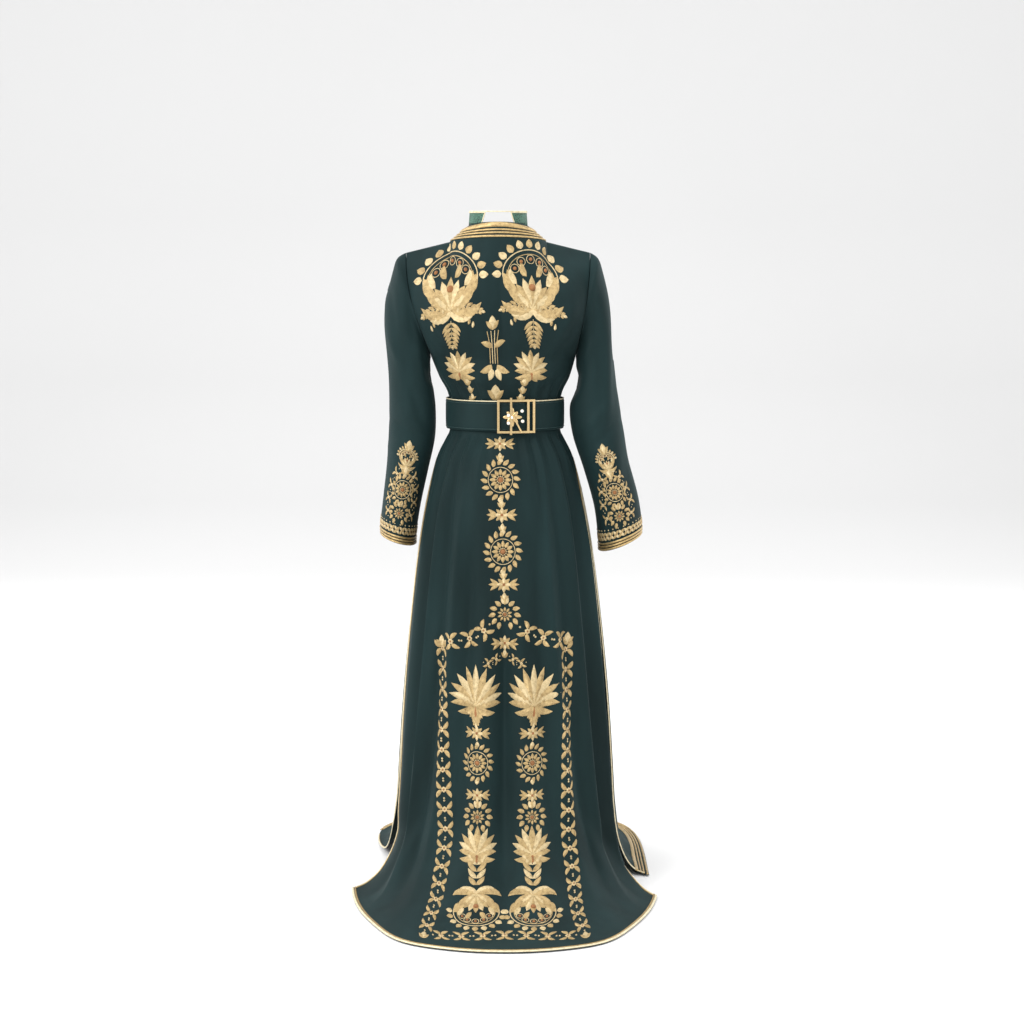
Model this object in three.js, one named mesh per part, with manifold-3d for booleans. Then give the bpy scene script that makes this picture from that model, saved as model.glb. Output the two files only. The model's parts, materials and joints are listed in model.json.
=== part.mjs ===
// A Moroccan kaftan as it hangs when worn: a long back with a train, two fronts that meet edge to edge down the
// middle, side slits from the hips down, straight set-in sleeves, braid borders, a lace neck piece and a belt.
// Every panel is an open-ended cloth wall with its own thickness, so the garment is hollow and open at its neck,
// cuffs, slits and hem.
//
// Millimetres, +Z up. The front faces -Y and the wearer's left is +X. Heights in the tables are measured up from
// the floor, and the finished group is lowered so that the origin is where the shoulders hold the garment up.

import * as THREE from "three";
import { mergeVertices } from "three/addons/utils/BufferGeometryUtils.js";
import Module from "manifold-3d";

const wasm = await Module();
wasm.setup();

// Driving dimensions.
const SHOULDER_HEIGHT = 1352;
const CLOTH = 1.6;
const BRAID = 1.8;
const LACE = 1.4;
const SEAM = 0.4;
const BORDER = 34;
const PIPING = 8;
const LEAN = 14;
const LEAN_FROM = 1030;
const LEAN_TO = 1300;

const COLOURS = {
  crepe: 0x1c3637,
  braid: 0xc9ab6c,
  piping: 0xd8cca4,
  lace: 0x1b3a30,
  metal: 0xd2b072,
};

// The body below the armholes, one row for each level: the half width of the back at the side and of the fronts
// (apron), the reach behind and in front of the middle axis, how square the plan is behind (bow) and in front, how
// strong the folds are, and the angles, from the middle of the back, at which the back stops and the fronts begin.
// The two differ below the hips, where the sides are slit.
const BODY = [
  { height: 1115, side: 150, apron: 150, back: 98, front: 118, bow: 2.15, square: 2.1, fold: 0, backL: 89.8, backR: 89.8, frontL: 90.2, frontR: 90.2 },
  { height: 1076, side: 136, apron: 136, back: 99, front: 115, bow: 2.15, square: 2.1, fold: 0.15, backL: 89.8, backR: 89.8, frontL: 90.2, frontR: 90.2 },
  { height: 1040, side: 117, apron: 117, back: 85, front: 98, bow: 2.15, square: 2.1, fold: 0, backL: 89.8, backR: 89.8, frontL: 90.2, frontR: 90.2 },
  { height: 998, side: 115, apron: 115, back: 82, front: 95, bow: 2.15, square: 2.1, fold: 0, backL: 89.8, backR: 89.8, frontL: 90.2, frontR: 90.2 },
  { height: 957, side: 117, apron: 117, back: 85, front: 98, bow: 2.15, square: 2.1, fold: 0, backL: 89.7, backR: 89.7, frontL: 90.3, frontR: 90.3 },
  { height: 905, side: 141, apron: 141, back: 111, front: 112, bow: 2.15, square: 2.1, fold: 0.4, backL: 89.2, backR: 89, frontL: 90.6, frontR: 90.6 },
  { height: 815, side: 163, apron: 163, back: 134, front: 126, bow: 2.15, square: 2.2, fold: 0.7, backL: 88, backR: 87.5, frontL: 91.5, frontR: 91 },
  { height: 715, side: 180, apron: 180, back: 149, front: 140, bow: 2.15, square: 2.2, fold: 0.9, backL: 87, backR: 86, frontL: 92.5, frontR: 91.5 },
  { height: 600, side: 194, apron: 194, back: 165, front: 160, bow: 2.15, square: 2.3, fold: 1, backL: 86, backR: 85, frontL: 94, frontR: 92.5 },
  { height: 480, side: 206, apron: 206, back: 182, front: 186, bow: 2.15, square: 2.4, fold: 1.1, backL: 85, backR: 84, frontL: 95.5, frontR: 93 },
  { height: 350, side: 216, apron: 216, back: 205, front: 218, bow: 2.15, square: 2.5, fold: 1.2, backL: 84, backR: 82, frontL: 97.5, frontR: 93.5 },
  { height: 240, side: 222, apron: 222, back: 234, front: 252, bow: 2.15, square: 2.7, fold: 1.25, backL: 82, backR: 79, frontL: 100, frontR: 94 },
  { height: 150, side: 229, apron: 228, back: 272, front: 292, bow: 2.15, square: 2.9, fold: 1.2, backL: 80, backR: 76, frontL: 103, frontR: 93 },
  { height: 85, side: 242, apron: 238, back: 318, front: 333, bow: 2.2, square: 3.2, fold: 1, backL: 78, backR: 73, frontL: 106.5, frontR: 92 },
  { height: 38, side: 265, apron: 256, back: 378, front: 376, bow: 2.25, square: 3.6, fold: 0.7, backL: 75.5, backR: 69, frontL: 111.5, frontR: 91 },
  { height: 13, side: 293, apron: 278, back: 445, front: 416, bow: 2.3, square: 4.1, fold: 0.35, backL: 73.5, backR: 66, frontL: 121, frontR: 89.5 },
  { height: 4, side: 326, apron: 309, back: 506, front: 452, bow: 2.3, square: 4.5, fold: 0, backL: 71.8, backR: 63.5, frontL: 141.8, frontR: 87.6 },
];
const LAST_ROW = BODY.length - 1;
const SLIT_ROW = 5;

// Where the back's hem is dragged out at the feet of two folds, with angles from the middle of the back.
const HEM_CORNERS = [
  { angle: 25, out: 14, width: 9 },
  { angle: -24, out: 14, width: 9 },
];

// The largest folds: ridges stand out and troughs sink in. Each runs from its angle at the waist to its angle at
// the hem, both from the middle of the back towards the wearer's left, and starts fading in at the height given.
const FOLDS = [
  { name: "left side ridge", waist: 76, hem: 66, depth: 2, width: 6, from: 957 },
  { name: "left trough", waist: 62, hem: 52, depth: -9, width: 6, from: 957 },
  { name: "left ridge", waist: 49, hem: 41, depth: 7, width: 6, from: 957 },
  { name: "left inner trough", waist: 36, hem: 30, depth: -6, width: 5, from: 957 },
  { name: "middle trough", waist: 0, hem: 0, depth: -12, width: 7, from: 640 },
  { name: "right inner ridge", waist: -30, hem: -25, depth: 4, width: 6, from: 957 },
  { name: "right trough", waist: -44, hem: -38, depth: -6, width: 6, from: 957 },
  { name: "right ridge", waist: -57, hem: -50, depth: 7, width: 6, from: 957 },
  { name: "right side trough", waist: -68, hem: -60, depth: -9, width: 6, from: 957 },
  { name: "right side ridge", waist: -80, hem: -70, depth: 8, width: 6, from: 957 },
  { name: "front left side ridge", waist: 106, hem: 112, depth: 7, width: 7, from: 957 },
  { name: "front left trough", waist: 122, hem: 132, depth: -8, width: 7, from: 957 },
  { name: "front left ridge", waist: 138, hem: 148, depth: 8, width: 7, from: 957 },
  { name: "front left inner trough", waist: 152, hem: 162, depth: -6, width: 6, from: 957 },
  { name: "front right side ridge", waist: -105, hem: -100, depth: 7, width: 7, from: 957 },
  { name: "front right side trough", waist: -120, hem: -117, depth: -8, width: 7, from: 957 },
  { name: "front right ridge", waist: -136, hem: -135, depth: 8, width: 7, from: 957 },
  { name: "front right inner trough", waist: -152, hem: -153, depth: -6, width: 7, from: 957 },
];

// The neck edge of the panels, where the border braid is sewn, and the free inner edge of that braid.
const NECK = {
  outer: { width: 100, nape: [76, 1362], side: [0, 1352], throat: [-118, 1232] },
  inner: { width: 63, nape: [54, 1394], side: [-6, 1383], throat: [-100, 1276] },
};
const NECK_SHARE = 0.5;

// The armhole from the shoulder tip down to the underarm. Behind and in front give how far the edge lies from the
// shoulder seam towards the back and towards the chest.
const ARMHOLE = [
  { across: 190, height: 1330, behind: 1.5, ahead: 1.5 },
  { across: 188, height: 1292, behind: 33, ahead: 28 },
  { across: 181, height: 1243, behind: 57, ahead: 46 },
  { across: 170, height: 1193, behind: 61, ahead: 50 },
  { across: 157, height: 1145, behind: 41, ahead: 38 },
  { across: 150, height: 1115, behind: 0.5, ahead: 0.5 },
];
const YOKE_ROWS = 8;
const BACK_BULGE = 14;
const CHEST_BULGE = 10;

// The sleeves below the armhole, one row for each ring: its outer and inner edge seen from behind, where its
// middle lies from the shoulder seam (behind is positive) and its half depth. The left arm hangs straight and the
// right one a little away from the side.
const SLEEVE_LEFT = [
  { outer: 209, outerZ: 1318, inner: 152, innerZ: 1107, middle: 1, depth: 60 },
  { outer: 219, outerZ: 1290, inner: 152, innerZ: 1097, middle: 1, depth: 62 },
  { outer: 237, outerZ: 1236, inner: 152, innerZ: 1076, middle: 0, depth: 63 },
  { outer: 242, outerZ: 1160, inner: 149, innerZ: 1048, middle: -3, depth: 62 },
  { outer: 242, outerZ: 1070, inner: 145, innerZ: 1004, middle: -8, depth: 61 },
  { outer: 243, outerZ: 985, inner: 147, innerZ: 945, middle: -14, depth: 63 },
  { outer: 248, outerZ: 900, inner: 162, innerZ: 876, middle: -22, depth: 67 },
  { outer: 257, outerZ: 822, inner: 178, innerZ: 804, middle: -30, depth: 72 },
  { outer: 264, outerZ: 764, inner: 188, innerZ: 742, middle: -36, depth: 76 },
  { outer: 263, outerZ: 739, inner: 190, innerZ: 716, middle: -39, depth: 77 },
];
const SLEEVE_RIGHT = [
  { outer: 207, outerZ: 1318, inner: 152, innerZ: 1107, middle: 1, depth: 60 },
  { outer: 216, outerZ: 1292, inner: 152, innerZ: 1097, middle: 1, depth: 62 },
  { outer: 224, outerZ: 1240, inner: 152, innerZ: 1076, middle: 2, depth: 63 },
  { outer: 229, outerZ: 1160, inner: 147, innerZ: 1048, middle: 3, depth: 63 },
  { outer: 234, outerZ: 1070, inner: 135, innerZ: 1008, middle: 4, depth: 62 },
  { outer: 244, outerZ: 985, inner: 142, innerZ: 950, middle: 2, depth: 64 },
  { outer: 261, outerZ: 900, inner: 165, innerZ: 880, middle: -2, depth: 68 },
  { outer: 280, outerZ: 822, inner: 187, innerZ: 802, middle: -6, depth: 73 },
  { outer: 288, outerZ: 768, inner: 196, innerZ: 733, middle: -9, depth: 77 },
  { outer: 287, outerZ: 743, inner: 198, innerZ: 707, middle: -10, depth: 78 },
];

// The belt is a flat fabric band. Its frame buckle sits behind, a little to the wearer's right.
const BELT = { bottom: 967, top: 1029, side: 121.5, back: 88.5, front: 103, thickness: 2.4 };
const BUCKLE = { left: 15, right: -59, bottom: 964, top: 1033, bar: 4.5, rise: 3, thickness: 3 };

const radians = THREE.MathUtils.degToRad;
const lerp = THREE.MathUtils.lerp;

// The value of one column of a table at a row number that may lie between two rows, on a smooth curve.
function between(rows, column, at) {
  const last = rows.length - 1;
  const i = Math.min(Math.floor(at), last - 1);
  const t = at - i;
  const [a, b, c, d] = [i - 1, i, i + 1, i + 2].map((k) => rows[Math.min(Math.max(k, 0), last)][column]);
  return b + 0.5 * t * (c - a + t * (2 * a - 5 * b + 4 * c - d + t * (3 * (b - c) + d - a)));
}

// The body leans a little to the wearer's left above the waist.
function leanAt(height) {
  return LEAN * THREE.MathUtils.smoothstep(height, LEAN_FROM, LEAN_TO);
}

// How far the folds move the cloth out at an angle from the middle of the back.
function foldAt(angle, row) {
  const height = between(BODY, "height", row);
  const down = THREE.MathUtils.clamp((row - 4) / (LAST_ROW - 4), 0, 1);
  let out = 0;
  for (const fold of FOLDS) {
    const offset = (angle - lerp(fold.waist, fold.hem, down)) / fold.width;
    const fadeIn = THREE.MathUtils.smoothstep(fold.from - height, 0, 150);
    out += fold.depth * fadeIn * Math.exp(-offset * offset);
  }
  return out * between(BODY, "fold", row);
}

// How far the hem's corners move it out at an angle.
function hemAt(angle, row) {
  const share = THREE.MathUtils.smoothstep(row, LAST_ROW - 2, LAST_ROW);
  return HEM_CORNERS.reduce((sum, { angle: at, out, width }) => sum + share * out * Math.exp(-(((angle - at) / width) ** 2)), 0);
}

// A point of the body's cloth at an angle from the middle of the back, on a row of the table. The side column
// says whose half width is used: the back's or the fronts'.
function bodyPoint(angle, row, side = "side") {
  const a = radians(angle);
  const [sine, cosine] = [Math.sin(a), Math.cos(a)];
  const behind = cosine > 0;
  const reach = between(BODY, behind ? "back" : "front", row);
  const power = between(BODY, behind ? "bow" : "square", row);
  const flat = Math.abs(sine / between(BODY, side, row)) ** power + Math.abs(cosine / reach) ** power;
  const radius = flat ** (-1 / power) + foldAt(angle, row) + hemAt(angle, row);
  const height = between(BODY, "height", row);
  return new THREE.Vector3(radius * sine + leanAt(height), radius * cosine, height);
}

// A point of the neck edge, from the nape (0) round the side of the neck (1) to the throat (2), on one side.
function neckPoint(edge, share, sign) {
  const [from, to] = share < 1 ? [edge.nape, edge.side] : [edge.side, edge.throat];
  const turn = (share * Math.PI) / 2;
  const across = share < 1 ? edge.width * Math.sin(turn) : edge.width * (1 - (share - 1) ** 1.6);
  const deep = share < 1 ? 1 - Math.cos(turn) : Math.sin(turn - Math.PI / 2);
  const drop = share < 1 ? 1 - Math.cos(turn) : (share - 1) ** 1.15;
  const height = lerp(from[1], to[1], drop);
  return new THREE.Vector3(sign * Math.max(across, SEAM) + leanAt(height), lerp(from[0], to[0], deep), height);
}

// A point of the armhole, from the shoulder tip (0) to the underarm (1), behind or in front of the shoulder seam.
function armholePoint(share, sign, behind) {
  const at = share * (ARMHOLE.length - 1);
  const height = between(ARMHOLE, "height", at);
  const deep = behind ? between(ARMHOLE, "behind", at) : -between(ARMHOLE, "ahead", at);
  return new THREE.Vector3(sign * between(ARMHOLE, "across", at) + leanAt(height), deep, height);
}

// A point of a panel above the underarm: across runs from its middle (0) to its armhole (1) and down from the
// neck and shoulder seam (0) to the underarm row (1). The four edges are blended into one smooth patch.
function yokePoint(across, down, sign, behind) {
  const edgeOf = behind ? (t) => 90 * t : (t) => 180 - 90 * t;
  const tip = armholePoint(0, sign, behind);
  const top = (t) => {
    const round = Math.min(t / NECK_SHARE, 1);
    const edge = neckPoint(NECK.outer, behind ? round : 2 - round, sign);
    edge.y = behind ? Math.max(edge.y, tip.y) : Math.min(edge.y, tip.y);
    return t <= NECK_SHARE ? edge : edge.lerp(tip, (t - NECK_SHARE) / (1 - NECK_SHARE));
  };
  const bottom = (t) => {
    const angle = Math.min(Math.max(edgeOf(t), behind ? 0 : 90.2), behind ? 89.8 : 180);
    return bodyPoint(sign * angle, 0);
  };
  const middle = (s) => {
    const bulge = (behind ? BACK_BULGE : -CHEST_BULGE) * Math.sin(Math.PI * s);
    return top(0).lerp(bottom(0), s).add(new THREE.Vector3(0, bulge, 0));
  };
  const side = (s) => armholePoint(s, sign, behind);
  const upper = (1 - down) ** 2.2;
  const lower = 1 - upper;
  const point = new THREE.Vector3();
  point.addScaledVector(top(across), upper).addScaledVector(bottom(across), lower);
  point.addScaledVector(middle(down), 1 - across).addScaledVector(side(down), across);
  point.addScaledVector(top(0), -(1 - across) * upper).addScaledVector(top(1), -across * upper);
  return point.addScaledVector(bottom(0), -(1 - across) * lower).addScaledVector(bottom(1), -across * lower);
}

// The outward direction at each point of a grid, from its neighbours. A tube's columns close on themselves.
function outwardOf(points, tube) {
  const [rows, columns] = [points.length, points[0].length];
  return points.map((line, j) =>
    line.map((_, i) => {
      const left = tube ? (i + columns - 1) % columns : Math.max(i - 1, 0);
      const right = tube ? (i + 1) % columns : Math.min(i + 1, columns - 1);
      const across = line[right].clone().sub(line[left]);
      const along = points[Math.min(j + 1, rows - 1)][i].clone().sub(points[Math.max(j - 1, 0)][i]);
      return across.cross(along).normalize();
    }),
  );
}

// A cloth wall over a grid of points, between two distances measured outwards from the grid. Columns run so that
// across times down points out. A tube is open at its first and last row only.
function wall(grid, from, to, tube = false) {
  const [rows, columns] = [grid.points.length, grid.points[0].length];
  const positions = [];
  for (const distance of [to, from])
    grid.points.forEach((line, j) =>
      line.forEach((p, i) => positions.push(...p.clone().addScaledVector(grid.outward[j][i], distance))),
    );
  const face = rows * columns;
  const index = [];
  const quad = (a, b, c, d) => index.push(a, b, c, a, c, d);
  const steps = tube ? columns : columns - 1;
  for (let j = 0; j < rows - 1; j++)
    for (let i = 0; i < steps; i++) {
      const next = (i + 1) % columns;
      const [a, b, c, d] = [j * columns + i, j * columns + next, (j + 1) * columns + next, (j + 1) * columns + i];
      index.push(a, b, c, a, c, d);
      index.push(face + a, face + c, face + b, face + a, face + d, face + c);
    }
  for (let i = 0; i < steps; i++) {
    const [next, below] = [(i + 1) % columns, (rows - 1) * columns];
    quad(i, face + i, face + next, next);
    quad(below + next, face + below + next, face + below + i, below + i);
  }
  for (let j = 0; !tube && j < rows - 1; j++) {
    const [a, b] = [j * columns, (j + 1) * columns];
    const [c, d] = [a + columns - 1, b + columns - 1];
    quad(b, face + b, face + a, a);
    quad(c, face + c, face + d, d);
  }
  const geometry = new THREE.BufferGeometry();
  geometry.setAttribute("position", new THREE.Float32BufferAttribute(positions, 3));
  geometry.setIndex(index);
  return geometry;
}

// Some rows and columns of a grid, with the outward directions of the whole, so that a piece laid there fits.
function part(grid, rows, columns) {
  const cut = (lines) => lines.slice(...rows).map((line) => line.slice(...columns));
  return { points: cut(grid.points), outward: cut(grid.outward) };
}

const group = new THREE.Group();
group.position.z = -SHOULDER_HEIGHT;

function add(name, geometry, finish, metalness = 0) {
  const roughness = metalness ? 0.35 : 0.8;
  const material = new THREE.MeshStandardMaterial({ color: COLOURS[finish], roughness, metalness });
  const mesh = new THREE.Mesh(geometry, material);
  mesh.name = name;
  group.add(mesh);
}

// The rows of every panel are the yoke's, then the table's, with one more where the hem's border begins.
const PANEL_ROWS = [];
for (let j = 0; j < YOKE_ROWS; j++) PANEL_ROWS.push({ yoke: j / YOKE_ROWS });
for (let j = 0; j <= LAST_ROW; j++) PANEL_ROWS.push({ row: j });
function withHemRow(points, width) {
  const hem = points.pop();
  const above = points[points.length - 1];
  points.push(hem.map((p, i) => p.clone().lerp(above[i], Math.min(width / p.distanceTo(above[i]), 0.85))));
  points.push(hem);
  return points;
}

// The back, cut in one from the shoulders to the train. Its columns run from the wearer's right to the left.
const BACK_COLUMNS = 28;
function backGrid() {
  const points = PANEL_ROWS.map(({ yoke, row }) => {
    const line = [];
    for (let i = 0; i <= BACK_COLUMNS; i++) {
      const across = (2 * i) / BACK_COLUMNS - 1;
      const sign = across < 0 ? -1 : 1;
      const inYoke = row === undefined;
      const edge = inYoke ? 0 : between(BODY, sign < 0 ? "backR" : "backL", row);
      line.push(inYoke ? yokePoint(Math.abs(across), yoke, sign, true) : bodyPoint(across * edge, row));
    }
    const half = BACK_COLUMNS / 2;
    line[half].x = (line[half - 1].x + line[half + 1].x) / 2;
    return line;
  });
  withHemRow(points, PIPING);
  return { points, outward: outwardOf(points, false) };
}

// One front, from its middle edge to the side seam and slit. Its first column is the border's width, and its last
// is the slit piping's.
const FRONT_COLUMNS = [1, 4, 4, 1];
function frontGrid(sign) {
  const points = PANEL_ROWS.map(({ yoke, row }) => {
    const inYoke = row === undefined;
    const level = inYoke ? 0 : row;
    const seam = sign > 0 ? "frontL" : "frontR";
    const span = 180 - between(BODY, seam, level);
    const reach = between(BODY, "front", level);
    const border = THREE.MathUtils.radToDeg(Math.asin(BORDER / reach)) / span;
    const piping = THREE.MathUtils.radToDeg(PIPING / (between(BODY, "apron", level) * 1.2)) / span;
    const middleGap = THREE.MathUtils.radToDeg(SEAM / reach) / span;
    const knots = [middleGap, border, NECK_SHARE, 1 - piping, 1];
    const shares = FRONT_COLUMNS.flatMap((count, k) =>
      Array.from({ length: count }, (_, i) => lerp(knots[k], knots[k + 1], i / count)),
    );
    shares.push(1);
    const line = shares.map((share) =>
      inYoke ? yokePoint(share, yoke, sign, false) : bodyPoint(sign * (180 - share * span), row, "apron"),
    );
    return sign > 0 ? line.reverse() : line;
  });
  withHemRow(points, BORDER);
  return { points, outward: outwardOf(points, false) };
}

const back = backGrid();
const fronts = { left: frontGrid(1), right: frontGrid(-1) };
const WHOLE = [0, undefined];
add("back", wall(back, -CLOTH, 0), "crepe");
for (const [side, grid] of Object.entries(fronts)) add("front_" + side, wall(grid, -CLOTH, 0), "crepe");

// Piping along the back's hem. On each front a braid border runs down the middle edge and along the hem, and
// piping down the slit's edge. All lie on the panels. The middle border stops above the hem's.
add("hem_piping_back", wall(part(back, [-2, undefined], WHOLE), SEAM, SEAM + BRAID), "piping");
const SLIT_LINE = YOKE_ROWS + SLIT_ROW;
for (const [side, grid] of Object.entries(fronts)) {
  const middle = side === "left" ? [-2, undefined] : [0, 2];
  const slit = side === "left" ? [0, 2] : [-2, undefined];
  const border = part(grid, [0, -1], middle);
  border.points[0] = border.points[0].map((p, i) => p.clone().lerp(border.points[1][i], 0.12));
  add("border_middle_" + side, wall(border, SEAM, SEAM + BRAID), "braid");
  add("piping_slit_" + side, wall(part(grid, [SLIT_LINE, -1], slit), SEAM, SEAM + BRAID), "piping");
  const hem = part(grid, [-2, undefined], WHOLE);
  hem.points[0] = hem.points[0].map((p, i) => p.clone().lerp(hem.points[1][i], 0.02));
  add("border_hem_" + side, wall(hem, SEAM, SEAM + BRAID), "braid");
}

// The neck border: four braids side by side, from the throat on one side round the nape to the other.
const NECK_STEPS = 14;
const THROAT_STOP = 1.96;
function neckGrid(from, to, last) {
  const points = [];
  for (const rise of [1, 0.5, 0]) {
    const line = [];
    for (let i = -NECK_STEPS; i <= NECK_STEPS; i++) {
      const share = (Math.abs(i) / NECK_STEPS) * last;
      const sign = i < 0 ? -1 : 1;
      const low = neckPoint(from, share, sign);
      line.push(low.lerp(neckPoint(to, share, sign), rise * 0.98 + 0.02));
    }
    line[NECK_STEPS].x = (line[NECK_STEPS - 1].x + line[NECK_STEPS + 1].x) / 2;
    points.push(line);
  }
  return { points, outward: outwardOf(points, false) };
}
add("border_neck", wall(neckGrid(NECK.outer, NECK.inner, THROAT_STOP), -BRAID / 2, BRAID), "braid");

// The lace neck pieces stand up inside the border at the sides of the neck, and a fine cord joins their top
// edges across the bare nape.
const LACE_STEPS = 10;
const STAND = { width: 59, back: 50, front: 62, bottom: 1389, top: 1413, foot: 1.03 };
const LACE_SPAN = { from: 26, to: 118 };
const CORD_RADIUS = 1.1;
function standPoint(angle, rise, sign) {
  const a = radians(angle);
  const size = lerp(STAND.foot, 1, rise);
  const reach = Math.cos(a) > 0 ? STAND.back : STAND.front;
  const forward = Math.max(-Math.cos(a), 0);
  const low = STAND.bottom - 26 * forward;
  const height = lerp(low, lerp(STAND.top, low + 8, forward ** 2), rise);
  return new THREE.Vector3(sign * STAND.width * size * Math.sin(a) + leanAt(height), reach * size * Math.cos(a), height);
}
function laceGrid(sign) {
  const points = [1, 0.5, 0].map((rise) => {
    const line = [];
    for (let i = 0; i <= LACE_STEPS; i++) {
      const share = i / LACE_STEPS;
      const rounding = 7 * (1 - rise) * Math.exp(-share * 8);
      line.push(standPoint(lerp(LACE_SPAN.from + rounding, LACE_SPAN.to, share), rise, sign));
    }
    return sign > 0 ? line : line.reverse();
  });
  return { points, outward: outwardOf(points, false) };
}
for (const [side, sign] of [["left", 1], ["right", -1]]) add("neck_lace_" + side, wall(laceGrid(sign), -LACE, 0), "lace");

const cordPoints = [];
for (let i = -8; i <= 8; i++) {
  const angle = (Math.abs(i) / 8) * 100;
  const point = standPoint(angle, 1, i < 0 ? -1 : 1);
  point.z += CORD_RADIUS + SEAM;
  cordPoints.push(point);
}
const cordSection = new THREE.Shape(
  Array.from({ length: 8 }, (_, k) => {
    const turn = (k * Math.PI) / 4;
    return new THREE.Vector2(CORD_RADIUS * Math.cos(turn), CORD_RADIUS * Math.sin(turn));
  }),
);
const cordPath = new THREE.CatmullRomCurve3(cordPoints);
add("nape_cord", new THREE.ExtrudeGeometry(cordSection, { steps: 32, extrudePath: cordPath }), "piping");

// A sleeve: its first ring is the armhole's own line, moved off the panels by the seam's gap, and the others are
// ovals between the outer and the inner edge of each row. The last interval carries the cuff border.
function sleeveGrid(table, sign) {
  const round = [];
  for (let j = 0; j < YOKE_ROWS; j++) round.push({ share: j / YOKE_ROWS, behind: true });
  for (let j = YOKE_ROWS; j > 0; j--) round.push({ share: j / YOKE_ROWS, behind: false });
  const first = round.map(({ share, behind }) => armholePoint(share, sign, behind).add(new THREE.Vector3(sign, 0, 0)));
  const rings = table.map((row) =>
    round.map(({ share, behind }) => {
      const turn = Math.PI * share;
      const outward = (1 + Math.cos(turn)) / 2;
      const height = lerp(row.innerZ, row.outerZ, outward);
      const deep = (behind ? 1 : -1) * row.depth * Math.sin(turn);
      const across = sign * lerp(row.inner, row.outer, outward) + leanAt(height);
      return new THREE.Vector3(across, row.middle + deep, height);
    }),
  );
  const points = [first, ...rings].map((line) => (sign > 0 ? line.reverse() : line));
  return { points, outward: outwardOf(points, true) };
}
for (const [side, sign, table] of [["left", 1, SLEEVE_LEFT], ["right", -1, SLEEVE_RIGHT]]) {
  const grid = sleeveGrid(table, sign);
  add("sleeve_" + side, wall(grid, -CLOTH, 0, true), "crepe");
  add("border_cuff_" + side, wall(part(grid, [-2, undefined], WHOLE), SEAM, SEAM + BRAID, true), "braid");
}

// The belt: an oval band over the panels and the front borders.
function beltPoint(angle, height) {
  const a = radians(angle);
  const reach = Math.cos(a) > 0 ? BELT.back : BELT.front;
  return new THREE.Vector3(BELT.side * Math.sin(a), reach * Math.cos(a), height);
}
const BELT_STEPS = 48;
const beltRows = [BELT.top, BELT.bottom].map((height) =>
  Array.from({ length: BELT_STEPS }, (_, i) => beltPoint((i * 360) / BELT_STEPS, height)),
);
const belt = { points: beltRows, outward: outwardOf(beltRows, true) };
add("belt", wall(belt, 0, BELT.thickness, true), "crepe");

// A bar or plate of the buckle, bent to the belt's curve, between two distances from the belt's middle line and
// two heights.
function plate(left, right, bottom, top, rise, thickness) {
  const steps = Math.max(1, Math.ceil((left - right) / 6));
  const rows = [top, bottom].map((height) =>
    Array.from({ length: steps + 1 }, (_, i) => {
      const across = lerp(right, left, i / steps);
      return beltPoint(THREE.MathUtils.radToDeg(Math.asin(across / BELT.side)), height);
    }),
  );
  const outward = rows.map((line) => line.map((p) => new THREE.Vector3(p.x / BELT.side ** 2, p.y / BELT.back ** 2, 0).normalize()));
  const from = BELT.thickness + rise;
  return wall({ points: rows, outward }, from, from + thickness);
}

function solidOf(geometry) {
  const merged = mergeVertices(geometry.deleteAttribute("uv").deleteAttribute("normal"), 1e-3);
  const { array } = merged.attributes.position;
  return new wasm.Manifold(new wasm.Mesh({ numProp: 3, vertProperties: array, triVerts: new Uint32Array(merged.index.array) }));
}
function geometryOf(solid) {
  const mesh = solid.getMesh();
  const geometry = new THREE.BufferGeometry();
  geometry.setAttribute("position", new THREE.BufferAttribute(new Float32Array(mesh.vertProperties), 3));
  geometry.setIndex(new THREE.BufferAttribute(new Uint32Array(mesh.triVerts), 1));
  return geometry;
}

// The frame buckle: an upright bar at one end, two close together at the other, and rails above and below.
const { left, right, bottom, top, bar, rise, thickness } = BUCKLE;
const SECOND_BAR = 11;
const frameBars = [
  [left, left - bar, bottom, top],
  [right + bar, right, bottom, top],
  [right + SECOND_BAR + bar, right + SECOND_BAR, bottom, top],
  [left, right, top - bar, top],
  [left, right, bottom, bottom + bar],
];
const frame = frameBars.map((edges) => solidOf(plate(...edges, rise, thickness))).reduce((all, one) => all.add(one));
add("buckle_frame", geometryOf(frame), "metal", 1);

// The middle bar crosses over the frame, and a star-shaped flower is riveted to the belt beside it.
const MIDDLE_BAR = { left: -10, right: -14, over: 0.5 };
const middleRise = rise + thickness + MIDDLE_BAR.over;
add("buckle_middle_bar", plate(MIDDLE_BAR.left, MIDDLE_BAR.right, bottom - 3, top + 4, middleRise, 2.2), "metal", 1);

const STAR = { points: 8, outer: 20, inner: 9, across: -15, height: 997, thickness: 2 };
const starOutline = Array.from({ length: STAR.points * 2 }, (_, k) => {
  const turn = (k * Math.PI) / STAR.points;
  const radius = k % 2 ? STAR.inner : STAR.outer;
  return new THREE.Vector2(radius * Math.sin(turn), radius * Math.cos(turn));
});
const star = new THREE.ExtrudeGeometry(new THREE.Shape(starOutline), { depth: STAR.thickness, bevelEnabled: false });
star.rotateX(Math.PI / 2);
const starFoot = beltPoint(THREE.MathUtils.radToDeg(Math.asin(STAR.across / BELT.side)), STAR.height);
const starTurn = Math.atan2(starFoot.x / BELT.side ** 2, starFoot.y / BELT.back ** 2);
star.rotateZ(-starTurn);
const starOut = BELT.thickness + STAR.thickness + SEAM + 1.2;
star.translate(starFoot.x + Math.sin(starTurn) * starOut, starFoot.y + Math.cos(starTurn) * starOut, STAR.height);
add("buckle_star", star, "metal", 1);

export default group;
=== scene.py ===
import json
import math

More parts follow.
